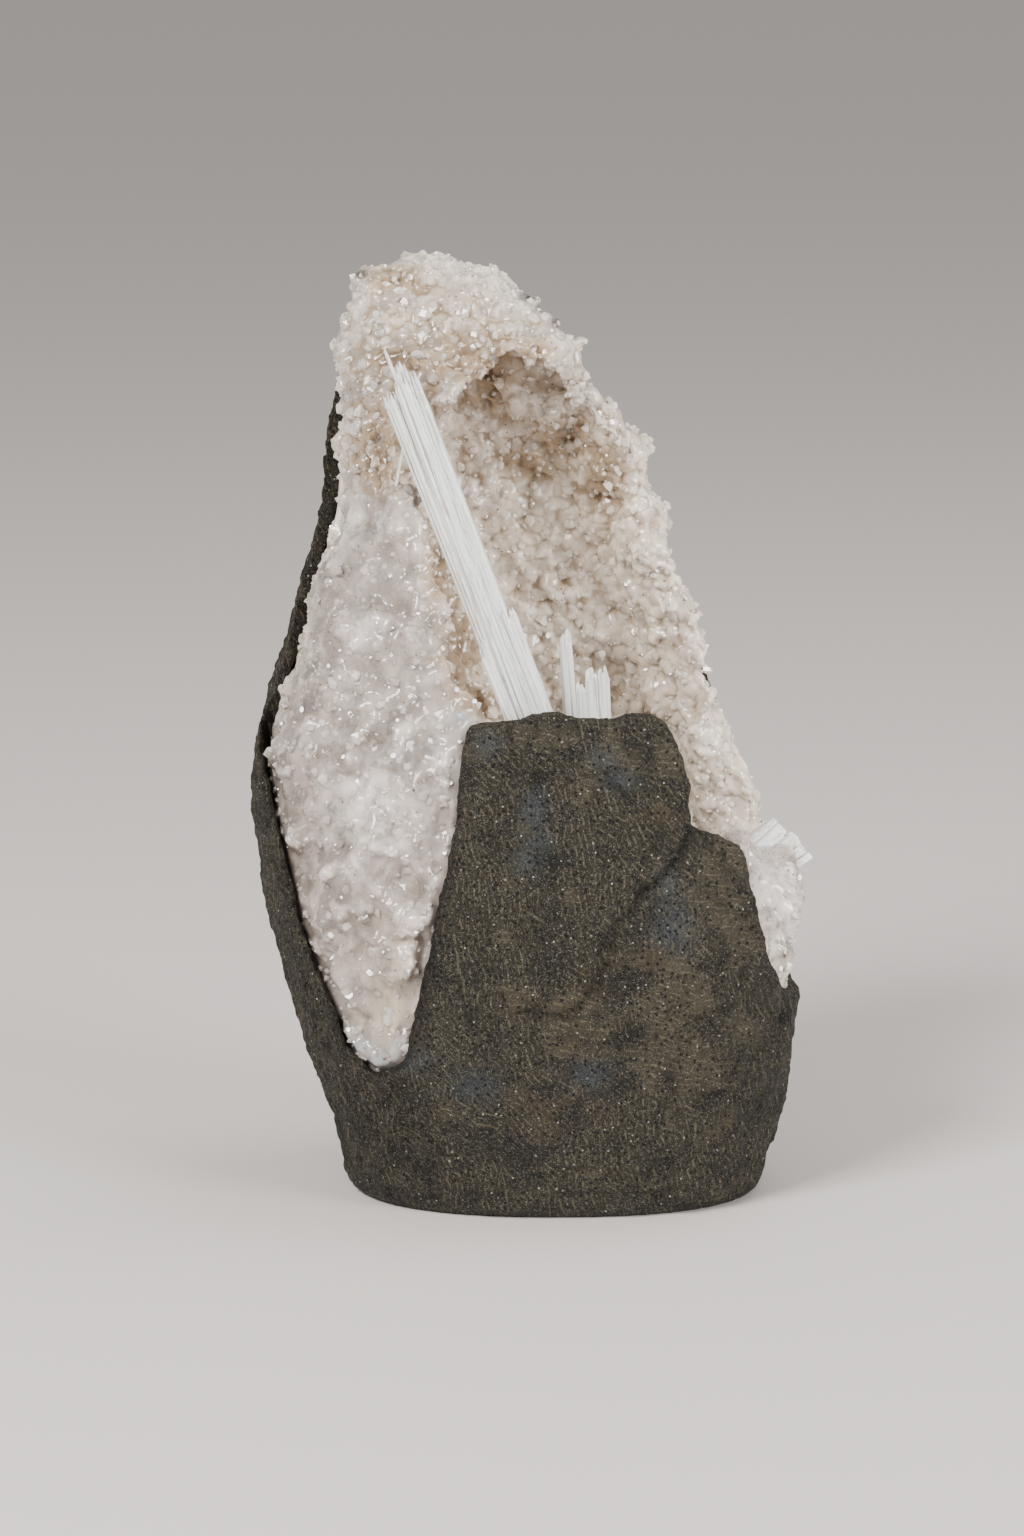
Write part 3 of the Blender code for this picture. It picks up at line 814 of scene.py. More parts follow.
@dataclass
class Basalt:
    """The dark rock: pitted, lumpy and cracked."""

    node: str = "basalt_matrix"
    inner: str = "quartz_crust"
    voxel: float = 0.72
    lumps: tuple[Lumps, ...] = ((9.0, 0.55), (2.8, 0.55), (1.3, 0.36))
    pit_size: float = 3.0
    pit_depth: float = 0.60
    pit_radius: float = 0.30
    flow_size: float = 5.5
    valley_width: float = 2.6
    covered: float = 0.7
    cracks: tuple[Crack, ...] = (
        Crack(((30.6, -11.2), (29.6, -14.4), (25.0, -19.8), (22.6, -21.0), (20.4, -25.0)), 1.0, 0.5),
        Crack(((20.4, -25.0), (17.5, -27.0), (16.8, -33.0), (15.1, -37.3), (10.8, -42.0)), 0.7, 0.7),
        Crack(((11.2, -42.9), (6.8, -42.6), (2.4, -42.0)), 0.9, 0.5),
        Crack(((12.4, -1.2), (16.1, -0.6), (18.5, -3.4), (20.9, -6.0)), 0.75, 0.42),
        Crack(((15.5, 2.6), (16.1, -0.6), (14.0, -4.0)), 0.5, 0.45),
        Crack(((-31.2, -57.0), (-29.6, -62.0), (-27.8, -68.2)), 0.8, 0.6),
        Crack(((-15.8, -61.6), (-12.2, -66.1)), 0.4, 0.4),
    )
    blue_spots: tuple[Spot, ...] = (
        (15.6, 1.2, 2.6, 2.2), (18.5, -2.0, 3.0, 2.0), (3.9, -7.5, 2.6, 3.4), (4.6, -12.6, 2.4, 1.8),
        (-4.3, 3.9, 2.4, 2.2), (26.8, -20.0, 2.0, 3.0), (27.6, -27.5, 3.6, 5.0), (13.4, -52.5, 3.6, 2.6),
        (-6.5, -54.5, 4.2, 2.6), (2.5, -16.0, 2.4, 2.4), (-17.0, -50.0, 3.0, 2.0),
    )
    ochre_spots: tuple[Spot, ...] = (
        (14.5, -36.0, 4.0, 3.0), (4.0, -41.0, 6.5, 1.6), (12.0, -47.0, 5.0, 3.0), (6.0, -58.0, 7.0, 4.0),
        (27.0, -8.0, 3.0, 2.0), (24.0, -33.0, 4.0, 3.0),
    )
    valley: tuple[Place, ...] = ((-10.8, -4.0), (-12.4, -16.0), (-15.0, -34.0), (-17.8, -48.0))
    # Where strokes run level; the first two spots, on the right flank, also make its khaki wash painted
    # light.
    level_spots: tuple[Spot, ...] = (
        (38.0, -22.0, 9.0, 16.0), (29.0, -45.0, 12.0, 14.0), (22.0, 0.0, 10.0, 4.0), (4.0, 5.0, 9.0, 3.5),
        (12.0, -42.0, 8.0, 5.0),
    )
    slant_spots: tuple[Spot, ...] = (
        (24.0, 4.0, 7.0, 6.0), (22.0, -14.0, 6.0, 8.0), (31.0, -9.0, 7.0, 4.0), (-4.0, 0.0, 6.0, 8.0),
        (-2.0, -60.0, 14.0, 6.0),
    )

    def build(self, finish: BasaltFinish) -> bpy.types.Object:
        """Models the rock over its solid.

        Args:
            finish: What the rock is dressed in.

        Returns:
            The finished piece.
        """
        rock = show("basalt_surface", merged_copy(self.node))
        remesh(rock, self.voxel, 1)
        points, normals = points_of(rock.data), normals_of(rock.data)
        away = distances(tree_of(self.inner), points)
        outside = rise(self.covered, 1.8, away) * rise(0.2, 2.5, points[:, 2])
        rough = follow(points, self._relief) - self._crack_depth(points)
        points += normals * (rough * outside)[:, None]
        points[:, 2] = points[:, 2].clip(0.0)
        move_points(rock.data, points)
        self._paint_stain_and_shade(rock.data, points)
        thin_hidden(rock, away < self.covered)
        dress(rock, finish)
        rock.data.shade_smooth()
        return rock

    def _relief(self, point: Vector) -> float:
        """How far the surface stands out at a point: lumps, less pits."""
        height = sum(noise.noise(point / size + Vector((size, 0.0, 3.0))) * high for size, high in self.lumps)
        close = noise.voronoi(point / self.pit_size)[0][0]
        return height - self.pit_depth * max(0.0, 1.0 - close / self.pit_radius)

    def _crack_depth(self, points: np.ndarray) -> np.ndarray:
        """How deep the cracks cut at each point of the front."""
        seen = SIGHT.seen(points)
        depth = np.zeros(len(points))
        for crack in self.cracks:
            depth = np.maximum(depth, crack.depth * beside(seen, crack.line, crack.width))
        return depth * (points[:, 1] < 0.0)

    def _paint_stain_and_shade(self, mesh: bpy.types.Mesh, points: np.ndarray) -> None:
        """Paints where the rock is bluish and ochre, painted shade in its valley and cracks, and which way
        its strokes run.
        """
        seen = SIGHT.seen(points)
        front = (points[:, 1] < 0.0).astype(float)
        # Painted shade for the valley and the cracks.
        dark = beside(seen, self.valley, self.valley_width)
        shade = np.maximum(dark, self._crack_depth(points) * 0.8).clip(0.0, 1.0)
        blue, ochre = spots(seen, self.blue_spots), spots(seen, self.ochre_spots)
        paint(mesh, "stain_and_shade", blue * front, ochre * front, shade * front)
        drift = follow(points, lambda point: noise.noise(point / self.flow_size))
        level = rise(0.30, 0.60, spots(seen, self.level_spots) * 0.85 + drift * 0.9)
        slant = rise(0.20, 0.50, spots(seen, self.slant_spots) * 0.85 - drift * 0.9) * (1.0 - level)
        paint(mesh, "flow", level, 1.0 - level - slant, slant)


class Ground(Enum):
    """Parts of the quartz, whose crystals differ."""

    HOLLOW = "hollow"
    HOOD = "hood"
    LEFT_MASS = "left_mass"
    LUMP = "lump"


@dataclass(frozen=True)
class Growth:
    """How crystals grow on one part of the quartz, in millimetres."""

    spacing: float
    radius: Range
    height: Range
    lean: float


@dataclass(frozen=True)
class Knob:
    """A rounded lobe of quartz, at a place on the picture plane."""

    across: float
    up: float
    radius: float
    out: float = -0.6

    def ball(self, tree: BVHTree) -> bpy.types.Mesh | None:
        """The lobe's ball, seated on the surface that shows at its place."""
        seat = SIGHT.hit(tree, self.across, self.up)
        if seat is None:
            return None
        centre = seat - Vector(SIGHT.axes()[2]) * self.out
        bm = bmesh.new()
        place = Matrix.Translation(centre * MM)
        bmesh.ops.create_icosphere(bm, subdivisions=3, radius=self.radius * MM, matrix=place)
        return made(bm, "ball")


@dataclass
class Quartz:
    """The quartz: one lobed druse of merged crystals, and small sharp crystals on it."""

    node: str = "quartz_crust"
    cover: str = "basalt_matrix"
    base_voxel: float = 0.9
    voxel: float = 0.44
    lumps: tuple[Lumps, ...] = ((12.0, 2.4), (5.5, 1.2), (2.6, 0.5))
    lobe_size: float = 6.5
    lobe_height: float = 2.0
    facet_size: float = 2.3
    facet_tilt: float = 0.9
    facet_dome: float = 1.0
    broad_share: float = 1.5
    # The right edge, the back and the top of the mass down the left.
    left_edges: Triple = (-8.0, -4.0, 121.0)
    # The heights over which the hood begins.
    hood_foot: Range = (119.0, 126.0)
    # The depths over which the outside gives way to the hollow.
    inside_start: Range = (-10.0, 6.0)
    covered: float = 0.8
    cut_depth: float = 5.0
    spark_spacing: float = 2.4
    spark_radius: Range = (0.28, 0.62)
    glint_spacing: float = 6.0
    glint_aims: tuple[Triple, ...] = ((-0.240, -0.879, 0.412), (0.427, -0.882, 0.198))
    growths: dict[Ground, Growth] = field(
        default_factory=lambda: {
            Ground.HOLLOW: Growth(2.4, (0.9, 1.7), (0.1, 0.8), 0.35),
            Ground.HOOD: Growth(2.6, (0.9, 1.9), (0.0, 0.7), 0.45),
            Ground.LEFT_MASS: Growth(3.0, (0.9, 1.9), (0.0, 0.6), 0.40),
            Ground.LUMP: Growth(4.0, (1.6, 3.2), (0.0, 0.4), 0.30),
        }
    )
    knobs: tuple[Knob, ...] = tuple(
        Knob(*row) for row in (
            (2.4, 64.6, 4.4, 3.4), (6.6, 61.4, 3.6, 2.4), (4.4, 68.8, 2.4, 1.6), (20.6, 54.0, 2.4),
            (24.6, 38.0, 2.4), (31.0, 20.0, 2.2), (33.6, 6.0, 2.4), (-18.6, 46.4, 2.8, -1.4),
            (-20.0, 41.0, 2.6, -1.4), (-16.8, 35.8, 3.0, -1.6), (-18.4, 31.6, 2.8, -1.4),
            (-15.0, 27.0, 3.0, -1.6), (-15.8, 21.6, 2.8, -1.4), (-13.0, 15.2, 3.0, -1.6),
            (-9.8, 9.6, 2.6, -1.4), (-7.4, 7.4, 1.8, -0.8), (-16.2, -25.0, 3.1, 1.6),
            (-19.4, -33.6, 2.9, 1.4), (-20.6, -35.4, 1.9, -0.3), (-16.8, -30.4, 1.6, -0.3),
            (-20.4, 65.4, 1.9), (-16.0, 64.6, 2.0), (-10.8, 64.0, 2.2), (-7.8, 67.6, 2.0),
            (-5.4, 70.6, 1.9), (-11.6, 60.2, 3.0, 1.0), (-9.4, 80.0, 4.4, -2.2), (-22.6, 76.0, 4.0, -2.4),
            (31.0, -7.6, 1.4, -0.4), (33.4, -9.6, 1.3, -0.4), (35.8, -11.2, 1.3, -0.4),
            (38.6, -12.6, 1.4, -0.4), (41.8, -14.6, 1.4, -0.4), (-27.2, -45.6, 1.6, 0.2),
            (-25.4, -48.0, 1.7, 0.3), (-22.8, -49.8, 1.8, 0.3), (-20.4, -49.0, 1.6, 0.3),
            (-18.6, -46.4, 1.5, 0.2), (-10.6, -6.0, 1.9, -0.8), (-11.4, -13.0, 2.1, -0.9),
            (-13.0, -19.6, 2.0, -0.8), (-32.6, -30.0, 2.0, -0.8), (-37.0, -12.0, 2.2, -1.0),
            (-35.0, -22.0, 2.0, -0.9), (-40.2, 2.0, 2.2, -1.0),
        )
    )
    # The larger brown spots are painted shadow in pockets and recesses; the smallest are stains.
    shade_and_stain_spots: tuple[Spot, ...] = (
        (-4.0, 67.0, 3.6, 6.0), (9.0, 56.6, 5.0, 3.6), (-22.8, 53.5, 3.4, 6.5), (-12.4, 34.0, 2.8, 6.0),
        (-9.0, 20.0, 3.4, 8.0), (-6.4, 11.0, 3.4, 3.4), (-20.4, 84.0, 5.0, 2.4), (16.0, 50.0, 4.0, 6.0),
        (-19.0, 70.4, 5.0, 1.5), (-8.0, 72.0, 4.0, 2.0), (3.0, 52.0, 5.0, 2.4), (4.0, 71.6, 3.0, 1.6),
        (-39.8, 14.4, 0.8, 1.0), (-25.7, -4.1, 0.8, 0.5), (8.9, 31.9, 1.5, 1.1), (-5.7, 50.0, 1.1, 0.8),
        (12.0, 29.0, 1.2, 0.8),
    )
    cream_spots: tuple[Spot, ...] = (
        (-8.1, 79.5, 6.5, 7.5), (-19.6, 77.0, 3.6, 2.6), (25.0, 20.0, 9.0, 16.0), (-21.0, -38.0, 4.5, 9.0),
        (44.0, -34.0, 5.0, 5.0), (14.0, 40.0, 9.0, 12.0),
    )
    white_spots: tuple[Spot, ...] = (
        (2.4, 66.0, 3.4, 4.0), (-9.6, 87.0, 3.0, 1.2), (-29.0, 42.0, 5.0, 4.0), (-26.0, 24.0, 3.4, 3.0),
        (-25.0, -8.0, 7.0, 10.0), (-12.0, 2.0, 3.0, 5.0), (33.0, -12.0, 5.0, 1.6), (46.0, -26.0, 7.0, 12.0),
    )
    grey_spots: tuple[Spot, ...] = (
        (-40.5, -5.0, 5.0, 15.0), (-38.0, 14.0, 5.0, 9.0), (-19.0, 2.0, 4.5, 6.0), (-27.0, 73.0, 6.0, 10.0),
        (12.0, 66.0, 4.0, 7.0), (-33.0, 30.0, 5.0, 5.0), (-31.0, -26.0, 5.0, 8.0), (-14.0, 84.0, 5.0, 3.0),
    )
    ledge_spots: tuple[Spot, ...] = (
        (-25.6, -48.0, 2.6, 1.5), (-22.4, -50.0, 2.6, 1.4), (-19.0, -47.8, 2.0, 1.6), (-8.6, 8.6, 2.0, 1.2),
    )
    rim_spots: tuple[Spot, ...] = (
        (2.8, 81.0, 2.0, 1.2), (5.4, 79.0, 2.0, 1.2), (8.0, 76.6, 1.8, 1.4), (-28.8, 82.6, 1.3, 1.4),
        (-26.2, 84.8, 1.4, 1.0), (-32.2, 74.0, 0.8, 3.0), (-32.3, 68.0, 0.8, 3.0),
    )
    seed: int = 7

    def build(self, finish: QuartzFinish, spark: QuartzFinish) -> list[bpy.types.Object]:
        """Models the quartz over its solid.

        Args:
            finish: What the druse is dressed in.
            spark: What the sharp crystals are dressed in.

        Returns:
            The back and the front of the druse, then the sharp crystals.
        """
        rng = np.random.default_rng(self.seed)
        cover = tree_of(self.cover)
        body = self._body(cover)
        skin = Skin(body.data)
        grounds = self._grounds(skin, skin.is_open(cover, 4.0))
        crystals = [self._grow(self.growths[ground], skin, where, rng) for ground, where in grounds.items()]
        druse = show("quartz_druse", joined("druse", [body.data, *crystals]))
        bpy.data.objects.remove(body)
        remesh(druse, self.voxel, 1)
        away = distances(cover, points_of(druse.data))
        chance = self._facet(druse.data, away)
        self._paint(druse.data, chance)
        surface = Skin(druse.data)
        sparks = self._sparks(surface, ~self._behind(surface.centres, surface.facing, cover), rng)
        dress(sparks, spark)
        thin_hidden(druse, away < self.covered)
        thin_hidden(druse, self._behind(points_of(druse.data), normals_of(druse.data), cover), 0.35)
        dress(druse, finish)
        return [*self._split(druse), sparks]

    def _body(self, cover: BVHTree) -> bpy.types.Object:
        """The lobed body that the crystals stand on."""
        tree = tree_of(self.node)
        balls = [ball for knob in self.knobs if (ball := knob.ball(tree)) is not None]
        body = show("quartz_body", joined("quartz body", [merged_copy(self.node), *balls]))
        remesh(body, self.base_voxel, 2)
        points, normals = points_of(body.data), normals_of(body.data)
        free = rise(self.covered, 3.0, distances(cover, points))
        points += normals * (follow(points, self._relief) * free)[:, None]
        move_points(body.data, points)
        return body

    def _relief(self, point: Vector) -> float:
        """How far the body stands out at a point: lumps, and lobes with creases between them."""
        lumps = sum(noise.noise(point / size + Vector((0.0, size, 9.0))) * high for size, high in self.lumps)
        bent = point + wander(point / 5.0) * 1.5
        return lumps + (0.42 - noise.voronoi(bent / self.lobe_size)[0][0]) * self.lobe_height

    def _in_left_mass(self, points: np.ndarray) -> np.ndarray:
        """Which points are in the mass of broad crystals down the left."""
        x, y, z = points.T
        right, back, top = self.left_edges
        return (x < right) & (y < back) & (z < top)

    def _grounds(self, skin: Skin, is_open: np.ndarray) -> dict[Ground, np.ndarray]:
        """Which triangles belong to each part of the quartz."""
        x, y, z = skin.centres.T
        lump = is_open & (x > 30.0) & (z < 62.0) & (skin.facing[:, 0] > -0.3)
        left = is_open & self._in_left_mass(skin.centres) & (skin.facing[:, 1] < -0.1)
        hood = is_open & (z > self.hood_foot[0]) & (y < 9.0) & ~lump & ~left
        hollow = is_open & ~lump & ~left & ~hood
        return {Ground.HOLLOW: hollow, Ground.HOOD: hood, Ground.LEFT_MASS: left, Ground.LUMP: lump}

    def _grow(
        self, growth: Growth, skin: Skin, where: np.ndarray, rng: np.random.Generator
    ) -> bpy.types.Mesh:
        """Grows the crystals of one part.

        Args:
            growth: How they grow.
            skin: The surface that they stand on.
            where: Which of its triangles may take them.
            rng: The source of chance.

        Returns:
            The crystals.
        """
        spread = skin.scatter(where, growth.spacing, rng)
        count = len(spread.points)
        radius = rng.uniform(*growth.radius, count)
        tall = rng.uniform(*growth.height, count) + radius
        seats = spread.leaning(growth.lean, rng).seats(radius, tall, flattest=0.72, depth=1.0, rng=rng)
        shapes = point_shapes(6, 0.62, (0.0, 0.0), (0.35, 0.1), (-0.2, 0.3))
        return seats.stamp("crystals", shapes)[0]

    def _facet(self, mesh: bpy.types.Mesh, away: np.ndarray) -> np.ndarray:
        """Breaks the surface into packed crystals, each with its own tilt.

        Args:
            mesh: The druse.
            away: How far each vertex is from the rock.

        Returns:
            A chance value for each vertex, the same over one crystal.
        """
        points, normals = points_of(mesh), normals_of(mesh)
        heights, chances = np.empty(len(points)), np.empty(len(points))
        broad = self._in_left_mass(points)
        sizes = np.where(broad, self.broad_share, 1.0) * self.facet_size
        for i, (place, size) in enumerate(zip(points.tolist(), sizes.tolist())):
            point = Vector(place) / size
            reach, centres = noise.voronoi(point)
            lean = wander(centres[0] * 5.7)
            heights[i] = lean.dot(point - centres[0]) * self.facet_tilt - reach[0] ** 2 * self.facet_dome
            chances[i] = noise.cell(centres[0] * 9.0)
        waxy = rise(28.0, 34.0, points[:, 0]) * rise(-64.0, -58.0, -points[:, 2])
        heights *= rise(0.6, 1.8, away) * (1.0 - 0.6 * waxy) * np.where(broad, 0.75, 1.0)
        points += normals * heights[:, None]
        move_points(mesh, points)
        return chances

    def _paint(self, mesh: bpy.types.Mesh, chance: np.ndarray) -> None:
        """Paints where the quartz is grey, cream, white, bluish and dark-rimmed, with painted shade in tan
        and brown in its recesses and pockets and a painted highlight where it stands out.
        """
        points = points_of(mesh)
        seen = SIGHT.seen(points)
        inside = self._paint_depth(mesh)
        wide, close = hollowness(mesh, 45), hollowness(mesh, 5)
        # Painted shade: the deeper a point lies among its neighbours, the more tan and brown it is painted.
        sunk = rise(-0.1, 1.1, wide) * 0.55 + rise(-0.02, 0.22, close) * 0.45
        high = rise(*self.hood_foot, points[:, 2])
        share = 0.44 * inside + (1.0 - inside) * (0.20 + 0.60 * high)
        bare = 1.0 - 0.8 * spots(seen, self.white_spots)
        # The listed spots are mostly painted shadow in pockets; the hood's share is a browner tone.
        spot_shade_and_stain = spots(seen, self.shade_and_stain_spots) * 0.7 + high * (1.0 - inside) * 0.16
        recess_shade_and_stain = ((sunk * share + spot_shade_and_stain) * bare).clip(0.0, 1.0)
        greyish = chance * 0.6 + spots(seen, self.grey_spots) * 0.75 + high * (1.0 - inside) * 0.35
        paint(mesh, "tint", greyish.clip(0.0, 1.0), recess_shade_and_stain, spots(seen, self.cream_spots))
        # Painted highlight: points that stand out are painted whiter, beside the whiter spots.
        raised_highlight = rise(0.0, 0.9, -wide)
        white = (spots(seen, self.white_spots) * 0.9 + raised_highlight * 0.5).clip(0.0, 1.0)
        paint(mesh, "mark", white, spots(seen, self.ledge_spots), spots(seen, self.rim_spots))

    def _paint_depth(self, mesh: bpy.types.Mesh) -> np.ndarray:
        """Paints how far each vertex is inside the hollow, and gives that back."""
        # The finish paints the hollow lighter by this value, as painted light.
        inside = rise(*self.inside_start, points_of(mesh)[:, 1])
        paint(mesh, "depth", inside, inside, inside)
        return inside

    def _sparks(self, skin: Skin, is_open: np.ndarray, rng: np.random.Generator) -> bpy.types.Object:
        """Small sharp crystals whose faces catch the light."""
        spread = skin.scatter(is_open, self.spark_spacing, rng)
        count = len(spread.points)
        radius = rng.uniform(*self.spark_radius, count) * rng.choice((1.0, 1.0, 1.3, 2.2), count)
        leaning = spread.leaning(0.5, rng)
        tall = radius * rng.uniform(1.2, 1.6, count)
        seats = leaning.seats(radius, tall, flattest=0.7, depth=0.7, rng=rng)
        shapes = point_shapes(6, 0.5, (0.0, 0.0), (0.45, 0.1), (-0.3, 0.35))
        points, owner = seats.stamp("sparks", shapes)
        mesh = joined("sparks", [points, self._glints(skin, is_open, rng)])
        owner = np.pad(owner, (0, len(mesh.vertices) - len(owner)))
        zeros = np.zeros(len(mesh.vertices))
        paint(mesh, "tint", rng.random(count)[owner] * 0.2, zeros, zeros)
        # The sharp crystals are painted whitish, a painted highlight for their sparkle.
        paint(mesh, "mark", zeros + 0.50, zeros, zeros)
        self._paint_depth(mesh)
        return show("quartz_sharp_points", mesh)

    def _glints(self, skin: Skin, is_open: np.ndarray, rng: np.random.Generator) -> bpy.types.Mesh:
        """Flat crystal ends that mirror a lamp towards the picture's side.

        Args:
            skin: The surface that they stand on.
            is_open: Which of its triangles may take them.
            rng: The source of chance.

        Returns:
            The crystals.
        """
        spread = skin.scatter(is_open, self.glint_spacing, rng)
        aims = np.array(self.glint_aims)[rng.integers(0, len(self.glint_aims), len(spread.points))]
        fits = (spread.normals * aims).sum(axis=1) > 0.55
        count = fits.sum()
        aimed = Spread(spread.points[fits], aims[fits] + rng.normal(0.0, 0.05, (count, 3)))
        radius = rng.uniform(*self.spark_radius, count) * rng.choice((1.0, 1.0, 1.0, 1.8), count)
        seats = aimed.seats(radius, radius, flattest=0.6, depth=0.62, rng=rng)
        bm = stump(6, 0.72, 1.0)
        bmesh.ops.triangulate(bm, faces=bm.faces)
        return seats.stamp("glints", [made(bm, "flat end")])[0]

    @staticmethod
    def _behind(points: np.ndarray, normals: np.ndarray, cover: BVHTree) -> np.ndarray:
        """Which points the rock hides from the picture's side."""
        starts = (points + normals * 0.3).tolist()
        aims = (SIGHT.eye() - points).tolist()
        return np.array([cover.ray_cast(start, aim)[0] is not None for start, aim in zip(starts, aims)])

    def _split(self, druse: bpy.types.Object) -> list[bpy.types.Object]:
        """Cuts the druse in two closed halves, back and front, so that neither has too many faces."""
        halves = []
        for name, side in (("back", 1.0), ("front", -1.0)):
            bm = bmesh.new()
            bm.from_mesh(druse.data)
            for face in bm.faces:
                face.smooth = True
            cut = bmesh.ops.bisect_plane(
                bm,
                geom=[*bm.verts, *bm.edges, *bm.faces],
                plane_co=Vector((0.0, self.cut_depth * MM, 0.0)),
                plane_no=Vector((0.0, side, 0.0)),
                clear_inner=True,
            )
            edges = [item for item in cut["geom_cut"] if isinstance(item, bmesh.types.BMEdge)]
            caps = bmesh.ops.triangle_fill(bm, edges=edges, use_beauty=True, normal=Vector((0.0, -side, 0.0)))
            for face in caps["geom"]:
                if isinstance(face, bmesh.types.BMFace):
                    face.smooth = False
            for edge in edges:
                edge.smooth = False
            mesh = made(bm, "quartz " + name)
            mesh.materials.append(druse.data.materials[0])
            halves.append(show("quartz_druse_" + name, mesh))
        bpy.data.objects.remove(druse)
        return halves


@dataclass
class Lath:
    """One lath of scolecite: a bundle of needles side by side."""

    foot: Triple
    tip: Triple
    half_width: float
    half_depth: float
    ragged: float = 1.0


@dataclass
class Spray:
    """A spray of scolecite: flat needles that fill its laths."""

    name: str
    node: str
    laths: tuple[Lath, ...]
    pitch: float = 0.55
    narrowing: float = 0.90
    roundness: float = 1.2
    foot_scatter: float = 0.06
    tip_scatter: float = 0.10
    radius: Range = (0.55, 1.10)
    flatness: Range = (0.6, 0.9)
    seed: int = 3

    def build(self) -> bpy.types.Object:
        """Models the spray's needles and dresses them.

        Returns:
            The finished piece.
        """
        rng = np.random.default_rng(self.seed)
        table = np.array([row for lath in self.laths for row in self._fill(lath, rng)])
        count = len(table)
        turns = rng.normal(0.0, 0.35, count)
        seats = Seats(table[:, 0:3], table[:, 3:6], table[:, 6:9], turns)
        shapes = point_shapes(5, 0.985, (0.5, 0.0), (-0.6, 0.2), (0.0, 0.5))
        mesh, owner = seats.stamp(self.name, shapes)
        zeros = np.zeros(len(mesh.vertices))
        paint(mesh, "tint", rng.random(count)[owner], zeros, zeros)
        main = self.laths[0]
        along = np.subtract(main.tip, main.foot)
        needles = show(self.name, mesh)
        dress(needles, NeedleFinish(self.name + " white", tuple(along)))
        return needles

    def _fill(self, lath: Lath, rng: np.random.Generator) -> list[tuple[float, ...]]:
        """Packs one lath with needles: the foot, the direction and the size of each."""
        along = Vector(lath.tip) - Vector(lath.foot)
        across = Vector((0.0, 1.0, 0.0)).cross(along).normalized()
        deep = along.cross(across).normalized()
        columns = max(1, round(2.0 * lath.half_width / self.pitch))
        rows = max(1, round(2.0 * lath.half_depth / self.pitch))
        needles = []
        for column in range(columns):
            for row in range(rows):
                side = (column + 0.5) / columns * 2.0 - 1.0
                back = (row + 0.5) / rows * 2.0 - 1.0
                if abs(side) ** 3 + abs(back) ** 3 > self.roundness:
                    continue
                shift = across * side * lath.half_width + deep * back * lath.half_depth
                foot = Vector(lath.foot) + shift + Vector(rng.normal(0.0, self.foot_scatter, 3))
                tip = Vector(lath.tip) + shift * self.narrowing + Vector(rng.normal(0.0, self.tip_scatter, 3))
                run = tip - foot
                length = run.length - min(abs(rng.normal()) * lath.ragged, run.length * 0.3)
                radius = self.pitch * rng.uniform(*self.radius)
                depth = radius * rng.uniform(*self.flatness)
                needles.append((*foot, *run.normalized(), radius, depth, length))
        return needles


LARGE_SPRAY = Spray(
    name="scolecite_large_needles",
    node="scolecite_large_spray",
    laths=(
        Lath((14.6, -19.3, 45.5), (-21.4, -14.6, 142.0), 2.3, 2.0, 2.2),
        Lath((13.6, -18.6, 45.2), (-22.4, -13.8, 143.8), 1.3, 2.0, 2.0),
        Lath((15.7, -19.6, 45.8), (-19.7, -14.9, 139.4), 1.6, 1.6, 3.2),
        Lath((12.5, -19.4, 45.6), (-23.9, -14.5, 138.8), 1.2, 1.3, 1.2),
        Lath((16.8, -18.9, 46.2), (-4.2, -17.6, 103.0), 1.1, 1.4, 1.8),
        Lath((12.3, -20.2, 45.8), (-8.6, -18.4, 98.0), 0.9, 1.2, 1.6),
        Lath((14.0, -17.0, 45.4), (-16.0, -12.6, 127.5), 2.0, 1.6, 3.0),
        Lath((15.2, -20.8, 46.2), (-13.0, -17.0, 119.0), 1.3, 0.9, 5.0),
        Lath((14.2, -18.4, 46.0), (-24.6, -13.6, 146.4), 0.3, 0.3, 0.0),
        Lath((-22.6, -13.0, 122.6), (-21.0, -14.4, 131.0), 0.2, 0.2, 0.0),
    ),
    pitch=0.62,
    narrowing=0.93,
)
SMALL_SPRAY = Spray(
    name="scolecite_small_needles",
    node="scolecite_small_spray",
    laths=(
        Lath((9.6, -7.2, 46.0), (5.8, -9.2, 98.2), 1.25, 1.5, 1.2),
        Lath((10.6, -6.8, 46.0), (8.4, -8.8, 89.4), 1.3, 1.7, 1.5),
        Lath((12.0, -7.0, 46.0), (10.2, -8.8, 91.4), 1.2, 1.6, 0.8),
        Lath((13.8, -6.8, 46.2), (12.2, -8.4, 92.0), 1.1, 1.3, 0.8),
    ),
    pitch=0.85,
    narrowing=0.55,
    seed=4,
)
BROKEN_STUB = Spray(
    name="scolecite_stub_needles",
    node="scolecite_broken_stub",
    laths=(
        Lath((34.6, -7.0, 57.2), (42.6, -3.8, 63.8), 1.7, 1.6, 0.7),
        Lath((36.6, -6.6, 56.6), (44.4, -3.2, 61.8), 1.4, 1.8, 0.7),
        Lath((40.0, -6.0, 54.4), (47.8, -3.0, 58.8), 1.6, 1.6, 0.7),
        Lath((38.4, -5.0, 54.6), (46.0, -1.0, 60.4), 1.4, 1.5, 0.7),
    ),
    pitch=1.7,
    narrowing=0.97,
    seed=5,
)


# Studio


@dataclass(frozen=True)
class Softbox:
    """A square light that faces the geode."""

    name: str
    place: Triple
    size: float
    power: float
    colour: Colour = (1.0, 1.0, 1.0)

    def build(self, target: Vector) -> None:
        """Hangs the light."""
        lamp = bpy.data.lights.new(self.name, "AREA")
        lamp.size = self.size
        lamp.energy = self.power
        lamp.color = self.colour
        obj = bpy.data.objects.new(self.name, lamp)
        obj.location = self.place
        obj.rotation_euler = (target - Vector(self.place)).to_track_quat("-Z", "Y").to_euler()
        bpy.context.scene.collection.objects.link(obj)


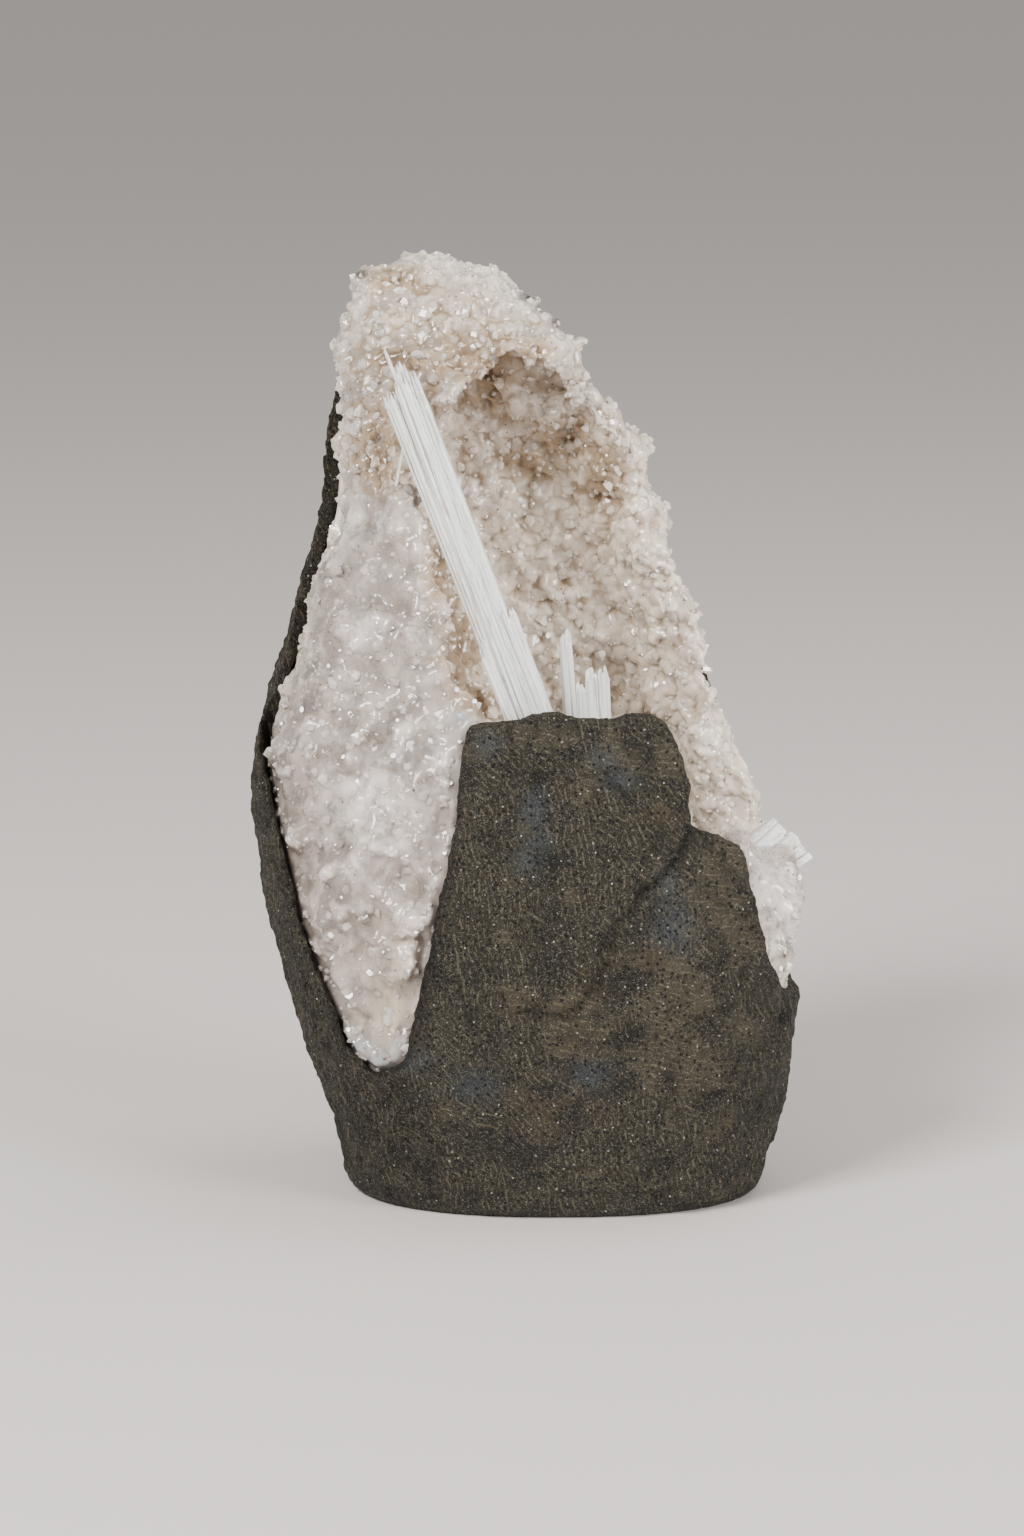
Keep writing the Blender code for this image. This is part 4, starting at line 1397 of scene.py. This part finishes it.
@dataclass
class Studio:
    """The floor, the lights and the camera."""

    sight: Sight = SIGHT
    lens: float = 129.7
    softboxes: tuple[Softbox, ...] = (
        Softbox("key", (-0.58, -0.85, 0.84), 0.42, 20.0, (1.0, 0.965, 0.93)),
        Softbox("right", (0.95, -0.75, 0.30), 0.50, 17.0, (1.0, 0.970, 0.94)),
        Softbox("top", (0.30, 0.15, 1.00), 0.45, 2.5, (1.0, 0.98, 0.96)),
    )
    sky: Colour = (1.0, 0.965, 0.94)
    sky_strength: float = 0.44

    def build(self) -> None:
        """Sets the studio up."""
        target = Vector(self.sight.target) * MM
        for softbox in self.softboxes:
            softbox.build(target)
        self._hang_camera()
        self._lay_floor()
        world = bpy.data.worlds.new("studio")
        world.use_nodes = True
        back = world.node_tree.nodes["Background"]
        back.inputs["Color"].default_value = (*self.sky, 1.0)
        back.inputs["Strength"].default_value = self.sky_strength
        bpy.context.scene.world = world

    def _hang_camera(self) -> None:
        """Points the camera at the geode's open front."""
        lens = bpy.data.cameras.new("camera")
        lens.lens = self.lens
        lens.sensor_width = 36.0
        lens.clip_start = 0.01
        camera = bpy.data.objects.new("camera", lens)
        camera.location = Vector(self.sight.eye()) * MM
        camera.rotation_euler = (math.pi / 2 - math.radians(self.sight.elevation), 0.0, 0.0)
        bpy.context.scene.collection.objects.link(camera)
        bpy.context.scene.camera = camera

    @staticmethod
    def _lay_floor() -> None:
        """Lays a wide pale floor."""
        bm = bmesh.new()
        bmesh.ops.create_grid(bm, x_segments=1, y_segments=1, size=6.0)
        floor = show("floor", made(bm, "floor"))
        dress(floor, FloorFinish())


def mount(piece: bpy.types.Object, slot: str, *nodes: str) -> None:
    """Puts a piece on the geode's one body, in place of the solids that it stands for."""
    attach(piece, "root")
    if nodes:
        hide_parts(*nodes)
    LOG.info("%s: %d faces", piece.name, len(piece.data.polygons))


def main() -> None:
    """Builds the dressed geode in its studio."""
    logging.basicConfig(level=logging.INFO)
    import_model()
    Studio().build()
    basalt = Basalt().build(BasaltFinish())
    spark = QuartzFinish("quartz_sharp", roughness=0.03, scatter=0.3)
    back, *others = Quartz().build(QuartzFinish(), spark)
    mount(basalt, "basalt", "basalt_matrix")
    mount(back, "quartz", "quartz_crust")
    for piece in others:
        mount(piece, "quartz")
    for spray in (LARGE_SPRAY, SMALL_SPRAY, BROKEN_STUB):
        mount(spray.build(), "scolecite", spray.node)
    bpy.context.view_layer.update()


if __name__ == "__main__":
    main()
